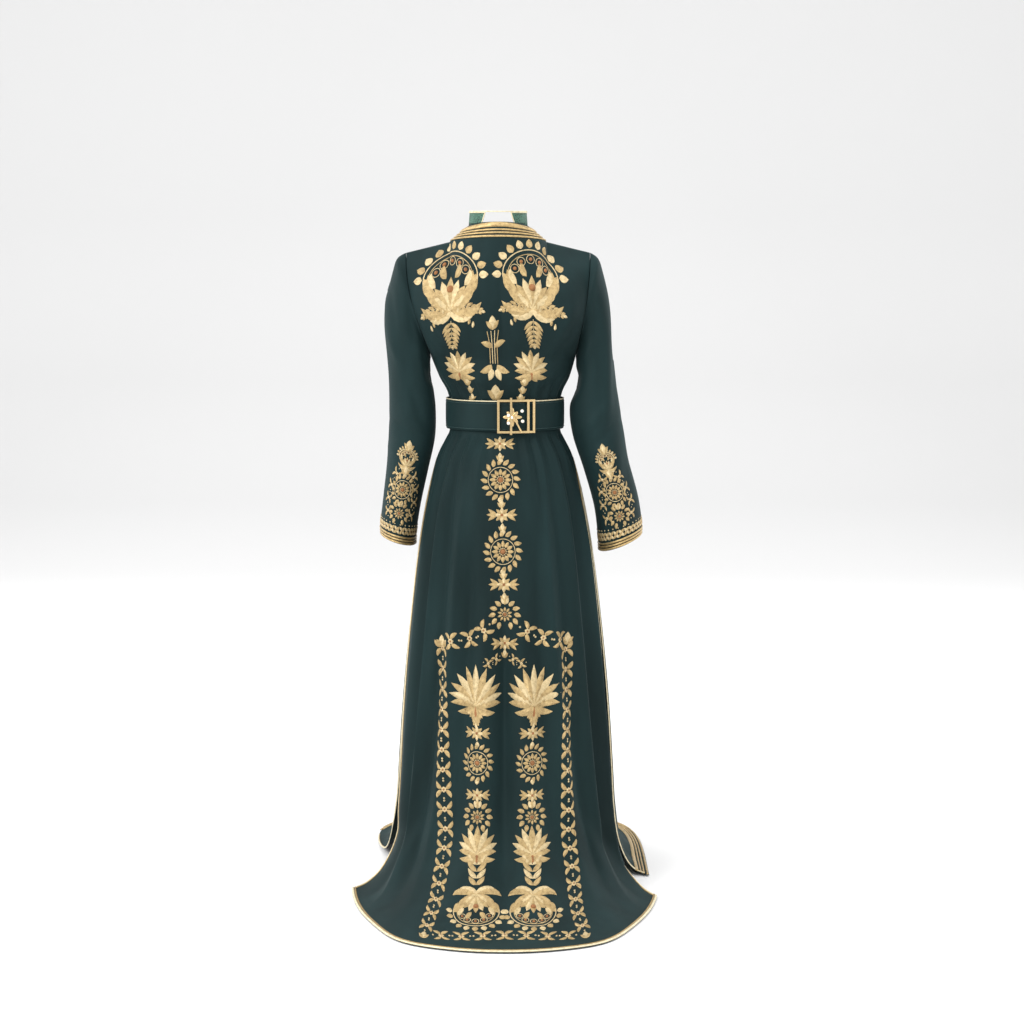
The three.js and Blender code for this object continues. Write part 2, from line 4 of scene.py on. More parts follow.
import bpy
import numpy as np
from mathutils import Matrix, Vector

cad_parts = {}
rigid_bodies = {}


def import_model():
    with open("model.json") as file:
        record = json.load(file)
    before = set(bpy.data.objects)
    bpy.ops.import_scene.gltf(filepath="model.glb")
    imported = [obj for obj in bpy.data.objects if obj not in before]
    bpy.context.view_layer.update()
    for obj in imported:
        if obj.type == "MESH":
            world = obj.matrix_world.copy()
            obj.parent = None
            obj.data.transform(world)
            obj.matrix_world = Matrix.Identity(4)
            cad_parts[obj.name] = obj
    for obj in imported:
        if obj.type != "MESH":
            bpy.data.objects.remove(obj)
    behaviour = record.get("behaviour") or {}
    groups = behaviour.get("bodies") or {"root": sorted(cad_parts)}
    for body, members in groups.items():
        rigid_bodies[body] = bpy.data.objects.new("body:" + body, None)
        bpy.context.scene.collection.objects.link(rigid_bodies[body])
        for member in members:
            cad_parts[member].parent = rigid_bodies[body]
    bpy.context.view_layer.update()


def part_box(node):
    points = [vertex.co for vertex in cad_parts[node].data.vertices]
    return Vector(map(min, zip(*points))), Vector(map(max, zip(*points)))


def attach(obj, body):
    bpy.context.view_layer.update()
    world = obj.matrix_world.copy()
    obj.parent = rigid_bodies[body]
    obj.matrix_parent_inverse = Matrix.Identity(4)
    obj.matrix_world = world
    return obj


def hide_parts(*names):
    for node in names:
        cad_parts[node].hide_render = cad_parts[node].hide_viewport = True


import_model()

# The setting: a pale floor that sweeps up into a backdrop, soft light from large panels, and a camera that
# looks at the back of the garment from chest height, a little downwards. The origin is at the shoulders.
SHOULDER_HEIGHT = 1.352
STAGE_PROFILE = [(9.0, 0.0), (-4.0, 0.0), (-5.2, 0.12), (-6.2, 0.6), (-6.8, 1.4), (-7.0, 2.6), (-7.0, 9.0)]
STAGE_HALF_WIDTH = 14.0


def new_mesh(name, vertices, faces, smooth=True):
    mesh = bpy.data.meshes.new(name)
    mesh.from_pydata([tuple(v) for v in vertices], [], [tuple(int(i) for i in f) for f in faces])
    mesh.validate()
    mesh.update()
    for polygon in mesh.polygons:
        polygon.use_smooth = smooth
    piece = bpy.data.objects.new(name, mesh)
    bpy.context.scene.collection.objects.link(piece)
    return piece


def shader(name, colour, roughness, metallic=0.0):
    material = bpy.data.materials.new(name)
    material.use_nodes = True
    surface = material.node_tree.nodes["Principled BSDF"]
    surface.inputs["Base Color"].default_value = (*colour, 1)
    surface.inputs["Roughness"].default_value = roughness
    surface.inputs["Metallic"].default_value = metallic
    return material, surface


def node(tree, kind, values=(), **settings):
    made = tree.nodes.new(kind)
    for key, value in settings.items():
        setattr(made, key, value)
    for key, value in dict(values).items():
        if isinstance(value, bpy.types.NodeSocket):
            tree.links.new(value, made.inputs[key])
        else:
            made.inputs[key].default_value = value
    return made


stage_points = []
for across in (-STAGE_HALF_WIDTH, STAGE_HALF_WIDTH):
    stage_points += [(across, y, z - SHOULDER_HEIGHT) for y, z in STAGE_PROFILE]
count = len(STAGE_PROFILE)
stage_faces = [(i, i + 1, count + i + 1, count + i) for i in range(count - 1)]
stage = new_mesh("stage", stage_points, stage_faces)
paper, paper_surface = shader("studio_paper", (0.79, 0.79, 0.79), 0.9)
paper_surface.inputs["Specular IOR Level"].default_value = 0.1
stage.data.materials.append(paper)

for name, place, size, energy in (
    ("light_key", (3.2, 3.2, 2.1), 2.4, 190),
    ("light_fill", (-3.4, 3.0, 1.2), 3.2, 45),
    ("light_top", (0.0, 0.6, 3.4), 4.0, 95),
    ("light_rim_left", (3.2, -1.6, 1.2), 2.0, 60),
    ("light_rim_right", (-3.2, -1.6, 1.2), 2.0, 60),
):
    light = bpy.data.lights.new(name, "AREA")
    light.size = size
    light.energy = energy
    lamp = bpy.data.objects.new(name, light)
    lamp.location = place
    toward = -lamp.location
    toward.z -= 0.5
    lamp.rotation_euler = toward.to_track_quat("-Z", "Y").to_euler()
    bpy.context.scene.collection.objects.link(lamp)

world = bpy.data.worlds.new("studio")
bpy.context.scene.world = world
world.use_nodes = True
world.node_tree.nodes["Background"].inputs["Color"].default_value = (1, 1, 1, 1)
world.node_tree.nodes["Background"].inputs["Strength"].default_value = 0.82
bpy.context.scene.view_settings.view_transform = "Standard"

camera = bpy.data.objects.new("camera", bpy.data.cameras.new("camera"))
camera.data.lens = 75.9
camera.data.sensor_width = 36
camera.location = (-0.0146, 4.5, 1.4 - SHOULDER_HEIGHT)
camera.rotation_euler = (math.radians(90 - 7.74), 0, math.pi)
bpy.context.scene.collection.objects.link(camera)
bpy.context.scene.camera = camera

# The back: one length of green crepe from the shoulders to the train, gathered under the belt and slit at
# both sides from the hips. Heights are in metres up from the floor. Angles run from the middle of the back
# towards the left.
BODY_COLUMNS = (
    "height", "side", "apron", "back", "front", "bow", "square",
    "fold", "back_left", "back_right", "front_left", "front_right",
)
BODY_ROWS = [
    (1.115, 0.15, 0.15, 0.098, 0.118, 2.15, 2.1, 0, 89.8, 89.8, 90.2, 90.2),
    (1.076, 0.136, 0.136, 0.099, 0.115, 2.15, 2.1, 0.15, 89.8, 89.8, 90.2, 90.2),
    (1.04, 0.117, 0.117, 0.085, 0.098, 2.15, 2.1, 0, 89.8, 89.8, 90.2, 90.2),
    (0.998, 0.115, 0.115, 0.082, 0.095, 2.15, 2.1, 0, 89.8, 89.8, 90.2, 90.2),
    (0.957, 0.117, 0.117, 0.085, 0.098, 2.15, 2.1, 0, 89.7, 89.7, 90.3, 90.3),
    (0.905, 0.141, 0.141, 0.111, 0.112, 2.15, 2.1, 0.4, 89.2, 89, 90.6, 90.6),
    (0.815, 0.163, 0.163, 0.134, 0.126, 2.15, 2.2, 0.7, 88, 87.5, 91.5, 91),
    (0.715, 0.18, 0.18, 0.149, 0.14, 2.15, 2.2, 0.9, 87, 86, 92.5, 91.5),
    (0.6, 0.194, 0.194, 0.165, 0.16, 2.15, 2.3, 1, 86, 85, 94, 92.5),
    (0.48, 0.206, 0.206, 0.182, 0.186, 2.15, 2.4, 1.1, 85, 84, 95.5, 93),
    (0.35, 0.216, 0.216, 0.205, 0.218, 2.15, 2.5, 1.2, 84, 82, 97.5, 93.5),
    (0.24, 0.222, 0.222, 0.234, 0.252, 2.15, 2.7, 1.25, 82, 79, 100, 94),
    (0.15, 0.229, 0.228, 0.272, 0.292, 2.15, 2.9, 1.2, 80, 76, 103, 93),
    (0.085, 0.242, 0.238, 0.318, 0.333, 2.2, 3.2, 1, 78, 73, 106.5, 92),
    (0.038, 0.265, 0.256, 0.378, 0.376, 2.25, 3.6, 0.7, 75.5, 69, 111.5, 91),
    (0.013, 0.293, 0.278, 0.445, 0.416, 2.3, 4.1, 0.35, 73.5, 66, 121, 89.5),
    (0.004, 0.326, 0.309, 0.506, 0.452, 2.3, 4.5, 0, 71.8, 63.5, 141.8, 87.6),
]
BODY = {name: np.array([row[i] for row in BODY_ROWS]) for i, name in enumerate(BODY_COLUMNS)}
LAST_ROW = len(BODY_ROWS) - 1
SLIT_ROW = 5
WAIST_ROW = 4
LEAN, LEAN_FROM, LEAN_TO = 0.014, 1.030, 1.300
CLOTH = 0.0012

# Each fold: its angle at the waist and at the hem, how far it stands out, its width in degrees, the height
# where it begins and how round its crest is.
FOLDS = [
    (77, 67, 0.003, 5, 0.957, 1.4),
    (66, 57, -0.013, 4.5, 0.957, 1.6),
    (57, 49, 0.013, 3.6, 0.957, 1.2),
    (47, 41, -0.0078, 4, 0.93, 1.6),
    (38, 33, 0.0078, 4, 0.9, 1.5),
    (27, 22, -0.0065, 4, 0.8, 1.8),
    (14, 12, 0.004, 5, 0.66, 2),
    (1, 0, -0.0182, 5.5, 0.64, 1.6),
    (-13, -12, 0.004, 5, 0.66, 2),
    (-26, -22, -0.004, 4, 0.8, 1.8),
    (-35, -31, 0.0065, 4, 0.9, 1.5),
    (-45, -40, -0.0091, 4.5, 0.957, 1.6),
    (-55, -48, 0.0104, 3.8, 0.957, 1.3),
    (-64, -55, -0.0117, 4.2, 0.957, 1.6),
    (-74, -64, 0.0117, 3.8, 0.957, 1.2),
    (-83, -71, -0.0065, 4, 0.93, 1.6),
    (102, 108, 0.0091, 6, 0.957, 1.3),
    (114, 122, -0.0104, 6, 0.957, 1.6),
    (127, 136, 0.0117, 5, 0.957, 1.3),
    (140, 148, -0.0104, 6, 0.957, 1.6),
    (151, 160, 0.0078, 5, 0.93, 1.5),
    (-101, -98, 0.0091, 6, 0.957, 1.3),
    (-113, -110, -0.0104, 6, 0.957, 1.6),
    (-126, -124, 0.0117, 5, 0.957, 1.3),
    (-139, -138, -0.0104, 6, 0.957, 1.6),
    (-150, -152, 0.0078, 5, 0.93, 1.5),
]
# Each gather under the belt: its angle, depth, width in degrees and length down the cloth.
GATHERS = [
    (84, 0.0030, 2.2, 0.17), (78, -0.0034, 2.0, 0.22), (71, 0.0036, 2.3, 0.14), (62, -0.0040, 2.2, 0.26),
    (55, 0.0044, 2.0, 0.20), (49, -0.0042, 1.9, 0.30), (42, 0.0040, 2.2, 0.18), (35, -0.0036, 2.4, 0.13),
    (27, 0.0026, 2.6, 0.16), (19, -0.0020, 2.8, 0.11), (-17, -0.0020, 2.8, 0.12), (-25, 0.0028, 2.4, 0.15),
    (-33, -0.0040, 2.0, 0.28), (-39, 0.0042, 2.1, 0.17), (-47, -0.0036, 2.3, 0.14), (-54, 0.0044, 2.0, 0.22),
    (-61, -0.0046, 2.0, 0.30), (-68, 0.0036, 2.3, 0.15), (-76, -0.0038, 2.1, 0.24), (-84, 0.0030, 2.3, 0.16),
    (97, -0.003, 2.4, 0.15), (106, 0.004, 2.5, 0.22), (116, -0.004, 2.4, 0.18), (129, 0.004, 2.6, 0.25),
    (141, -0.003, 2.6, 0.16), (153, 0.003, 2.8, 0.20), (-96, -0.003, 2.4, 0.16), (-107, 0.004, 2.5, 0.20),
    (-118, -0.004, 2.4, 0.26), (-130, 0.004, 2.6, 0.18), (-143, -0.003, 2.6, 0.15), (-154, 0.003, 2.8, 0.21),
]
HEM_CORNERS = [(25, 0.014, 9), (-24, 0.014, 9)]
NECK_EDGE = {"width": 0.100, "nape": (0.076, 1.362), "side": (0.0, 1.352), "throat": (-0.118, 1.232)}
NECK_TOP = {"width": 0.063, "nape": (0.054, 1.394), "side": (-0.006, 1.383), "throat": (-0.100, 1.276)}
NECK_SHARE = 0.5
# The armhole from the shoulder tip to the underarm: across, height, reach behind and reach ahead.
ARMHOLE = np.array([
    (0.190, 1.330, 0.0015, 0.0015),
    (0.188, 1.292, 0.033, 0.028),
    (0.181, 1.243, 0.057, 0.046),
    (0.170, 1.193, 0.061, 0.050),
    (0.157, 1.145, 0.041, 0.038),
    (0.150, 1.115, 0.0005, 0.0005),
])
BACK_BULGE, CHEST_BULGE = 0.014, 0.010
YOKE_FADE = 2.2
YOKE_LINES, LINES_PER_ROW, BACK_LINES = 48, 10, 168
# Soft creases across the back: start and end as across and height, depth and width.
BACK_CREASES = [
    ((0.150, 1.175), (0.105, 1.120), -0.0035, 0.008), ((0.155, 1.215), (0.118, 1.165), 0.003, 0.010),
    ((-0.140, 1.180), (-0.100, 1.115), -0.0035, 0.008), ((-0.145, 1.225), (-0.112, 1.160), 0.003, 0.010),
    ((0.118, 1.075), (0.070, 1.045), -0.003, 0.006), ((-0.115, 1.080), (-0.066, 1.045), -0.003, 0.006),
    ((0.095, 1.090), (0.040, 1.062), 0.0025, 0.008), ((-0.090, 1.095), (-0.034, 1.064), 0.0025, 0.008),
    ((0.130, 0.60), (0.165, 0.40), 0.003, 0.012), ((-0.150, 0.52), (-0.120, 0.33), 0.003, 0.012),
    ((0.17, 0.16), (0.235, 0.035), 0.006, 0.014), ((-0.16, 0.17), (-0.215, 0.035), 0.006, 0.014),
    ((0.215, 0.15), (0.270, 0.04), -0.006, 0.014), ((-0.20, 0.14), (-0.255, 0.04), -0.006, 0.014),
    ((0.075, 0.09), (0.095, 0.02), -0.004, 0.014), ((-0.06, 0.09), (-0.085, 0.02), -0.004, 0.014),
]


def curve(rows, at):
    rows, at = np.asarray(rows, float), np.asarray(at, float)
    last = len(rows) - 1
    start = np.clip(np.floor(at).astype(int), 0, last - 1)
    t = (at - start).reshape(at.shape + (1,) * (rows.ndim - 1))
    a, b, c, d = (rows[np.clip(start + k, 0, last)] for k in (-1, 0, 1, 2))
    return b + 0.5 * t * (c - a + t * (2 * a - 5 * b + 4 * c - d + t * (3 * (b - c) + d - a)))


def rise(value, low, high):
    t = np.clip((value - low) / (high - low), 0, 1)
    return t * t * (3 - 2 * t)


def lean_at(height):
    return LEAN * rise(height, LEAN_FROM, LEAN_TO)


def stand_out(angle, row):
    height = curve(BODY["height"], row)
    down = np.clip((row - WAIST_ROW) / (LAST_ROW - WAIST_ROW), 0, 1)
    total = np.zeros(np.broadcast(angle, row).shape)
    for waist, hem, depth, width, start, crest in FOLDS:
        offset = np.abs((angle - (waist + (hem - waist) * down)) / width)
        total = total + depth * rise(start - height, 0, 0.15) * np.exp(-(offset**crest))
    total = total * curve(BODY["fold"], row)
    drift = 1 - 0.13 * down
    for at, depth, width, length in GATHERS:
        fade = rise(height, 0.957 - length, 0.940) * (1 - rise(height, 0.945, 0.965))
        above = rise(height, 1.030, 1.036) * (1 - rise(height, 1.040, 1.095)) * 0.75
        total = total + depth * (fade + above) * np.exp(-(((angle - at * drift) / width) ** 2))
    for at, out, width in HEM_CORNERS:
        total = total + out * rise(row, LAST_ROW - 2, LAST_ROW) * np.exp(-(((angle - at) / width) ** 2))
    return total


def body_points(angle, row, side="side"):
    angle, row = np.broadcast_arrays(np.asarray(angle, float), np.asarray(row, float))
    turn = np.radians(angle)
    sine, cosine = np.sin(turn), np.cos(turn)
    reach = np.where(cosine > 0, curve(BODY["back"], row), curve(BODY["front"], row))
    power = np.where(cosine > 0, curve(BODY["bow"], row), curve(BODY["square"], row))
    flat = np.abs(sine / curve(BODY[side], row)) ** power + np.abs(cosine / reach) ** power
    radius = flat ** (-1 / power) + stand_out(angle, row)
    height = curve(BODY["height"], row)
    return np.stack([radius * sine + lean_at(height), radius * cosine, height], -1)


def neck_points(edge, share, sign):
    share, sign = np.broadcast_arrays(np.asarray(share, float), np.asarray(sign, float))
    turn = share * np.pi / 2
    past = np.maximum(share - 1, 0)
    behind = share < 1
    across = np.where(behind, edge["width"] * np.sin(turn), edge["width"] * (1 - past**1.6))
    deep = np.where(behind, 1 - np.cos(turn), np.sin(turn - np.pi / 2))
    drop = np.where(behind, 1 - np.cos(turn), past**1.15)
    start = np.where(behind[..., None], edge["nape"], edge["side"])
    end = np.where(behind[..., None], edge["side"], edge["throat"])
    height = start[..., 1] + (end[..., 1] - start[..., 1]) * drop
    return np.stack([
        sign * across + lean_at(height), start[..., 0] + (end[..., 0] - start[..., 0]) * deep, height,
    ], -1)


def armhole_points(share, sign, behind):
    share, sign, behind = np.broadcast_arrays(np.asarray(share, float), sign, behind)
    across, height, back, ahead = (curve(ARMHOLE[:, k], share * (len(ARMHOLE) - 1)) for k in range(4))
    return np.stack([sign * across + lean_at(height), np.where(behind, back, -ahead), height], -1)


def yoke_points(across, down, sign, behind):
    tip = armhole_points(0.0, sign, behind)

    def top(t):
        turned = np.minimum(t / NECK_SHARE, 1)
        edge = neck_points(NECK_EDGE, turned if behind else 2 - turned, sign)
        nearer = np.maximum if behind else np.minimum
        edge[..., 1] = nearer(edge[..., 1], tip[..., 1])
        beyond = np.maximum((t - NECK_SHARE) / (1 - NECK_SHARE), 0)[..., None]
        return edge + (tip - edge) * beyond

    def bottom(t):
        angle = np.clip(90 * t if behind else 180 - 90 * t, 0 if behind else 90.2, 89.8 if behind else 180)
        return body_points(sign * angle, np.zeros_like(angle))

    zero, one = np.zeros_like(across), np.ones_like(across)
    bulge = BACK_BULGE if behind else -CHEST_BULGE
    middle = top(zero) + (bottom(zero) - top(zero)) * down[..., None]
    middle[..., 1] += bulge * np.sin(np.pi * down)
    upper = ((1 - down) ** YOKE_FADE)[..., None]
    lower, out = 1 - upper, across[..., None]
    points = top(across) * upper + bottom(across) * lower
    points += middle * (1 - out) + armhole_points(down, sign, behind) * out
    points -= top(zero) * (1 - out) * upper + top(one) * out * upper
    return points - bottom(zero) * (1 - out) * lower - bottom(one) * out * lower


def outward_of(points, loop=False):
    if loop:
        across = np.roll(points, -1, axis=1) - np.roll(points, 1, axis=1)
    else:
        across = np.gradient(points, axis=1)
    normal = np.cross(across, np.gradient(points, axis=0))
    return normal / np.maximum(np.linalg.norm(normal, axis=-1, keepdims=True), 1e-9)


def crease(points, normal, creases, loop=False):
    across, height = points[..., 0], points[..., 2]
    move = np.zeros(across.shape)
    for start, end, depth, width in creases:
        start, end = np.array(start), np.array(end)
        line = end - start
        along = ((across - start[0]) * line[0] + (height - start[1]) * line[1]) / (line @ line)
        off = ((across - start[0]) * line[1] - (height - start[1]) * line[0]) / np.linalg.norm(line)
        ends = rise(along, -0.25, 0.35) * (1 - rise(along, 0.6, 1.25))
        move += depth * ends * np.exp(-((off / width) ** 2)) * (normal[..., 1] > -0.2)
    return points + normal * move[..., None]


def cloth_of(points, zero=None, loop=False):
    normal = outward_of(points, loop)
    steps = np.linalg.norm(np.diff(points, axis=1), axis=-1)
    arc = np.concatenate([np.zeros((len(points), 1)), np.cumsum(steps, axis=1)], axis=1)
    middle = points.shape[1] // 2
    down = np.concatenate([[0], np.cumsum(np.linalg.norm(np.diff(points[:, middle], axis=0), axis=-1))])
    start = down[-1] if zero is None else np.interp(-zero, -points[:, middle, 2], down)
    arc = arc - arc[:, middle : middle + 1]
    return {"points": points, "normal": normal, "arc": arc, "up": start - down}


def lowered(points):
    return points - np.array([0, 0, SHOULDER_HEIGHT])


def sheet_piece(name, points, material, thickness=CLOTH, loop=False):
    rows, columns = points.shape[:2]
    index = np.arange(rows * columns).reshape(rows, columns)
    right = np.roll(index, -1, axis=1) if loop else index[:, 1:]
    left = index if loop else index[:, :-1]
    faces = np.stack([left[:-1], left[1:], right[1:], right[:-1]], -1).reshape(-1, 4)[:, ::-1]
    piece = new_mesh(name, lowered(points).reshape(-1, 3), faces)
    solid = piece.modifiers.new("wall", "SOLIDIFY")
    solid.thickness, solid.offset = thickness, -1
    bpy.ops.object.select_all(action="DESELECT")
    bpy.context.view_layer.objects.active = piece
    piece.select_set(True)
    bpy.ops.object.modifier_apply(modifier="wall")
    piece.data.materials.append(material)
    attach(piece, "root")
    return piece


def weave_group():
    group = bpy.data.node_groups.new("crepe grain", "ShaderNodeTree")
    group.interface.new_socket("Size", in_out="INPUT", socket_type="NodeSocketFloat")
    group.interface.new_socket("Grain", in_out="OUTPUT", socket_type="NodeSocketFloat")
    group.interface.new_socket("Cloud", in_out="OUTPUT", socket_type="NodeSocketFloat")
    given, put = group.nodes.new("NodeGroupInput"), group.nodes.new("NodeGroupOutput")
    place = node(group, "ShaderNodeTexCoord").outputs["Object"]
    size = given.outputs["Size"]
    fine = node(group, "ShaderNodeTexNoise", {"Vector": place, "Scale": size, "Detail": 3.0})
    stretch = node(group, "ShaderNodeMapping", {"Vector": place, "Scale": (9, 9, 1.6)})
    drawn = stretch.outputs["Vector"]
    cloud = node(group, "ShaderNodeTexNoise", {"Vector": drawn, "Scale": 1.4, "Detail": 4.0})
    group.links.new(fine.outputs["Fac"], put.inputs["Grain"])
    group.links.new(cloud.outputs["Fac"], put.inputs["Cloud"])
    return group


WEAVE = weave_group()


def cloth_material(name, dark, light, grain=1500, bump=0.25, roughness=0.72):
    material, surface = shader(name, dark, roughness)
    tree = material.node_tree
    weave = node(tree, "ShaderNodeGroup", node_tree=WEAVE)
    weave.inputs["Size"].default_value = grain
    ramp = node(tree, "ShaderNodeValToRGB", {"Fac": weave.outputs["Cloud"]})
    ramp.color_ramp.elements[0].color, ramp.color_ramp.elements[0].position = (*dark, 1), 0.32
    ramp.color_ramp.elements[1].color, ramp.color_ramp.elements[1].position = (*light, 1), 0.70
    threads = weave.outputs["Grain"]
    speckle = node(tree, "ShaderNodeMapRange", {"Value": threads, "To Min": 0.82, "To Max": 1.18})
    tint = node(tree, "ShaderNodeVectorMath", {0: ramp.outputs["Color"]}, operation="SCALE")
    tree.links.new(speckle.outputs["Result"], tint.inputs["Scale"])
    tree.links.new(tint.outputs["Vector"], surface.inputs["Base Color"])
    relief = node(tree, "ShaderNodeBump", {"Height": threads, "Strength": bump, "Distance": 0.0006})
    tree.links.new(relief.outputs["Normal"], surface.inputs["Normal"])
    surface.inputs["Sheen Weight"].default_value = 0.05
    surface.inputs["Sheen Roughness"].default_value = 0.45
    surface.inputs["Sheen Tint"].default_value = (0.55, 0.80, 0.80, 1)
    surface.inputs["Specular IOR Level"].default_value = 0.16
    return material


CREPE = cloth_material("green_crepe", (0.0030, 0.0118, 0.0122), (0.0072, 0.0225, 0.0235))

yoke_down = (np.arange(YOKE_LINES) / YOKE_LINES)[:, None]
body_row = (np.arange(LAST_ROW * LINES_PER_ROW + 1) / LINES_PER_ROW)[:, None]


def panel(share, signs, behind, edges, side):
    """A panel's points, from its rows in the yoke and its rows below."""
    share, signs = share[None, :], signs[None, :]
    down, across = np.broadcast_arrays(yoke_down, np.abs(share))
    yoke = yoke_points(across, down, signs * np.ones_like(down), behind)
    if behind:
        edge = np.where(share < 0, curve(BODY["back_right"], body_row), curve(BODY["back_left"], body_row))
        angle = share * edge
    else:
        angle = signs * (180 - np.abs(share) * (180 - curve(BODY[edges], body_row)))
    return np.concatenate([yoke, body_points(angle, body_row * np.ones_like(angle), side)])


back_share = np.linspace(-1, 1, BACK_LINES + 1)
back_points = panel(back_share, np.where(back_share < 0, -1.0, 1.0), True, "back", "side")
back_points = crease(back_points, outward_of(back_points), BACK_CREASES)
BACK_CLOTH = cloth_of(back_points, zero=1.0)
back = sheet_piece("back_panel", back_points, CREPE)
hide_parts("back")

# The fronts: two lengths of the same crepe that meet edge to edge down the middle, held by the belt, and end
# in a wide hem on the floor. The front edges carry braid, and the side edges are bound below the hips.
FRONT_LINES = 84
FRONT_CLOTH = {}
for side, sign in (("left", 1), ("right", -1)):
    share = np.linspace(0.0025, 1, FRONT_LINES + 1)
    points = panel(share, np.full(share.shape, float(sign)), False, "front_" + side, "apron")
    if sign > 0:
        points = points[:, ::-1]
    FRONT_CLOTH[side] = cloth_of(points, zero=1.0)
    sheet_piece("front_panel_" + side, points, CREPE)
    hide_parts("front_" + side)

# The sleeves: one piece of crepe each, seamed under the arm and set into the armhole, widening to an open
# cuff. The left arm hangs straight and the right a little away from the side, so their creases differ.
# Each ring: outer edge and its height, inner edge and its height, where the middle lies and the half depth.
SLEEVE_LEFT = [
    (0.209, 1.318, 0.152, 1.107, 0.001, 0.06),
    (0.219, 1.29, 0.152, 1.097, 0.001, 0.062),
    (0.237, 1.236, 0.152, 1.076, 0, 0.063),
    (0.242, 1.16, 0.149, 1.048, -0.003, 0.062),
    (0.242, 1.07, 0.145, 1.004, -0.008, 0.061),
    (0.243, 0.985, 0.147, 0.945, -0.014, 0.063),
    (0.248, 0.9, 0.162, 0.876, -0.022, 0.067),
    (0.257, 0.822, 0.178, 0.804, -0.03, 0.072),
    (0.264, 0.764, 0.188, 0.742, -0.036, 0.076),
    (0.263, 0.739, 0.19, 0.716, -0.039, 0.077),
]
SLEEVE_RIGHT = [
    (0.207, 1.318, 0.152, 1.107, 0.001, 0.06),
    (0.216, 1.292, 0.152, 1.097, 0.001, 0.062),
    (0.224, 1.24, 0.152, 1.076, 0.002, 0.063),
    (0.229, 1.16, 0.147, 1.048, 0.003, 0.063),
    (0.234, 1.07, 0.135, 1.008, 0.004, 0.062),
    (0.244, 0.985, 0.142, 0.95, 0.002, 0.064),
    (0.261, 0.9, 0.165, 0.88, -0.002, 0.068),
    (0.28, 0.822, 0.187, 0.802, -0.006, 0.073),
    (0.288, 0.768, 0.196, 0.733, -0.009, 0.077),
    (0.287, 0.743, 0.198, 0.707, -0.01, 0.078),
]
SLEEVE_LINES, SLEEVE_LINES_PER_RING = 96, 10
SLEEVE_CREASES = {
    "left": [
        ((0.242, 1.180), (0.190, 1.020), 0.006, 0.011), ((0.225, 1.120), (0.170, 0.985), -0.005, 0.010),
        ((0.170, 1.120), (0.150, 1.060), -0.006, 0.008), ((0.185, 1.150), (0.160, 1.080), 0.004, 0.009),
        ((0.215, 1.010), (0.165, 0.950), 0.005, 0.010), ((0.235, 0.985), (0.180, 0.935), -0.005, 0.009),
        ((0.240, 0.930), (0.200, 0.900), 0.004, 0.009), ((0.205, 0.900), (0.230, 0.790), 0.004, 0.012),
        ((0.245, 1.280), (0.225, 1.170), -0.004, 0.012), ((0.200, 1.240), (0.185, 1.140), -0.003, 0.009),
    ],
    "right": [
        ((-0.208, 1.255), (-0.212, 1.000), 0.006, 0.010), ((-0.228, 1.200), (-0.232, 1.020), -0.004, 0.010),
        ((-0.180, 1.150), (-0.140, 1.060), 0.006, 0.010), ((-0.165, 1.120), (-0.138, 1.035), -0.006, 0.008),
        ((-0.215, 1.020), (-0.160, 0.960), 0.005, 0.010), ((-0.235, 0.985), (-0.180, 0.930), -0.005, 0.009),
        ((-0.190, 0.950), (-0.225, 0.820), 0.005, 0.012), ((-0.250, 0.930), (-0.262, 0.800), -0.004, 0.012),
        ((-0.190, 1.250), (-0.182, 1.140), -0.003, 0.009),
    ],
}
turns = np.linspace(0, 1, SLEEVE_LINES + 1)[:-1]
SLEEVE_CLOTH = {}
for side, sign, table in (("left", 1, SLEEVE_LEFT), ("right", -1, SLEEVE_RIGHT)):
    # From the front's middle over the inner edge, the back's middle and the outer edge to the front again.
    later = np.where(turns < 0.75, 1.5 - 2 * turns, 2 * turns - 1.5)
    share = np.where(turns < 0.25, 0.5 + 2 * turns, later)
    behind = (turns >= 0.25) & (turns < 0.75)
    rings = [armhole_points(share, float(sign), behind) + np.array([0.001 * sign, 0, 0])]
    for outer, outer_height, inner, inner_height, deep_middle, depth in table:
        outward = (1 + np.cos(np.pi * share)) / 2
        height = inner_height + (outer_height - inner_height) * outward
        deep = deep_middle + np.where(behind, 1, -1) * depth * np.sin(np.pi * share)
        across = sign * (inner + (outer - inner) * outward) + lean_at(height)
        rings.append(np.stack([across, deep, height], -1))
    at = np.arange((len(rings) - 1) * SLEEVE_LINES_PER_RING + 1) / SLEEVE_LINES_PER_RING
    points = curve(np.array(rings), at)
    if sign < 0:
        points = np.roll(points[:, ::-1], 1, axis=1)
    points = crease(points, outward_of(points, True), SLEEVE_CREASES[side])
    SLEEVE_CLOTH[side] = cloth_of(points, loop=True)
    sheet_piece("sleeve_piece_" + side, points, CREPE, loop=True)
    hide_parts("sleeve_" + side)

# The braids: narrow gold cords couched side by side along the neck, the front edges, the hems of the fronts
# and the cuffs. Each is a half-round strip of twisted metal thread sewn to the cloth, with green between.
BRAID_SECTION = 5
BRAID_LIFT = 0.0004
# How many grid lines in from an edge a braid may lie.
EDGE_DEPTH = 60


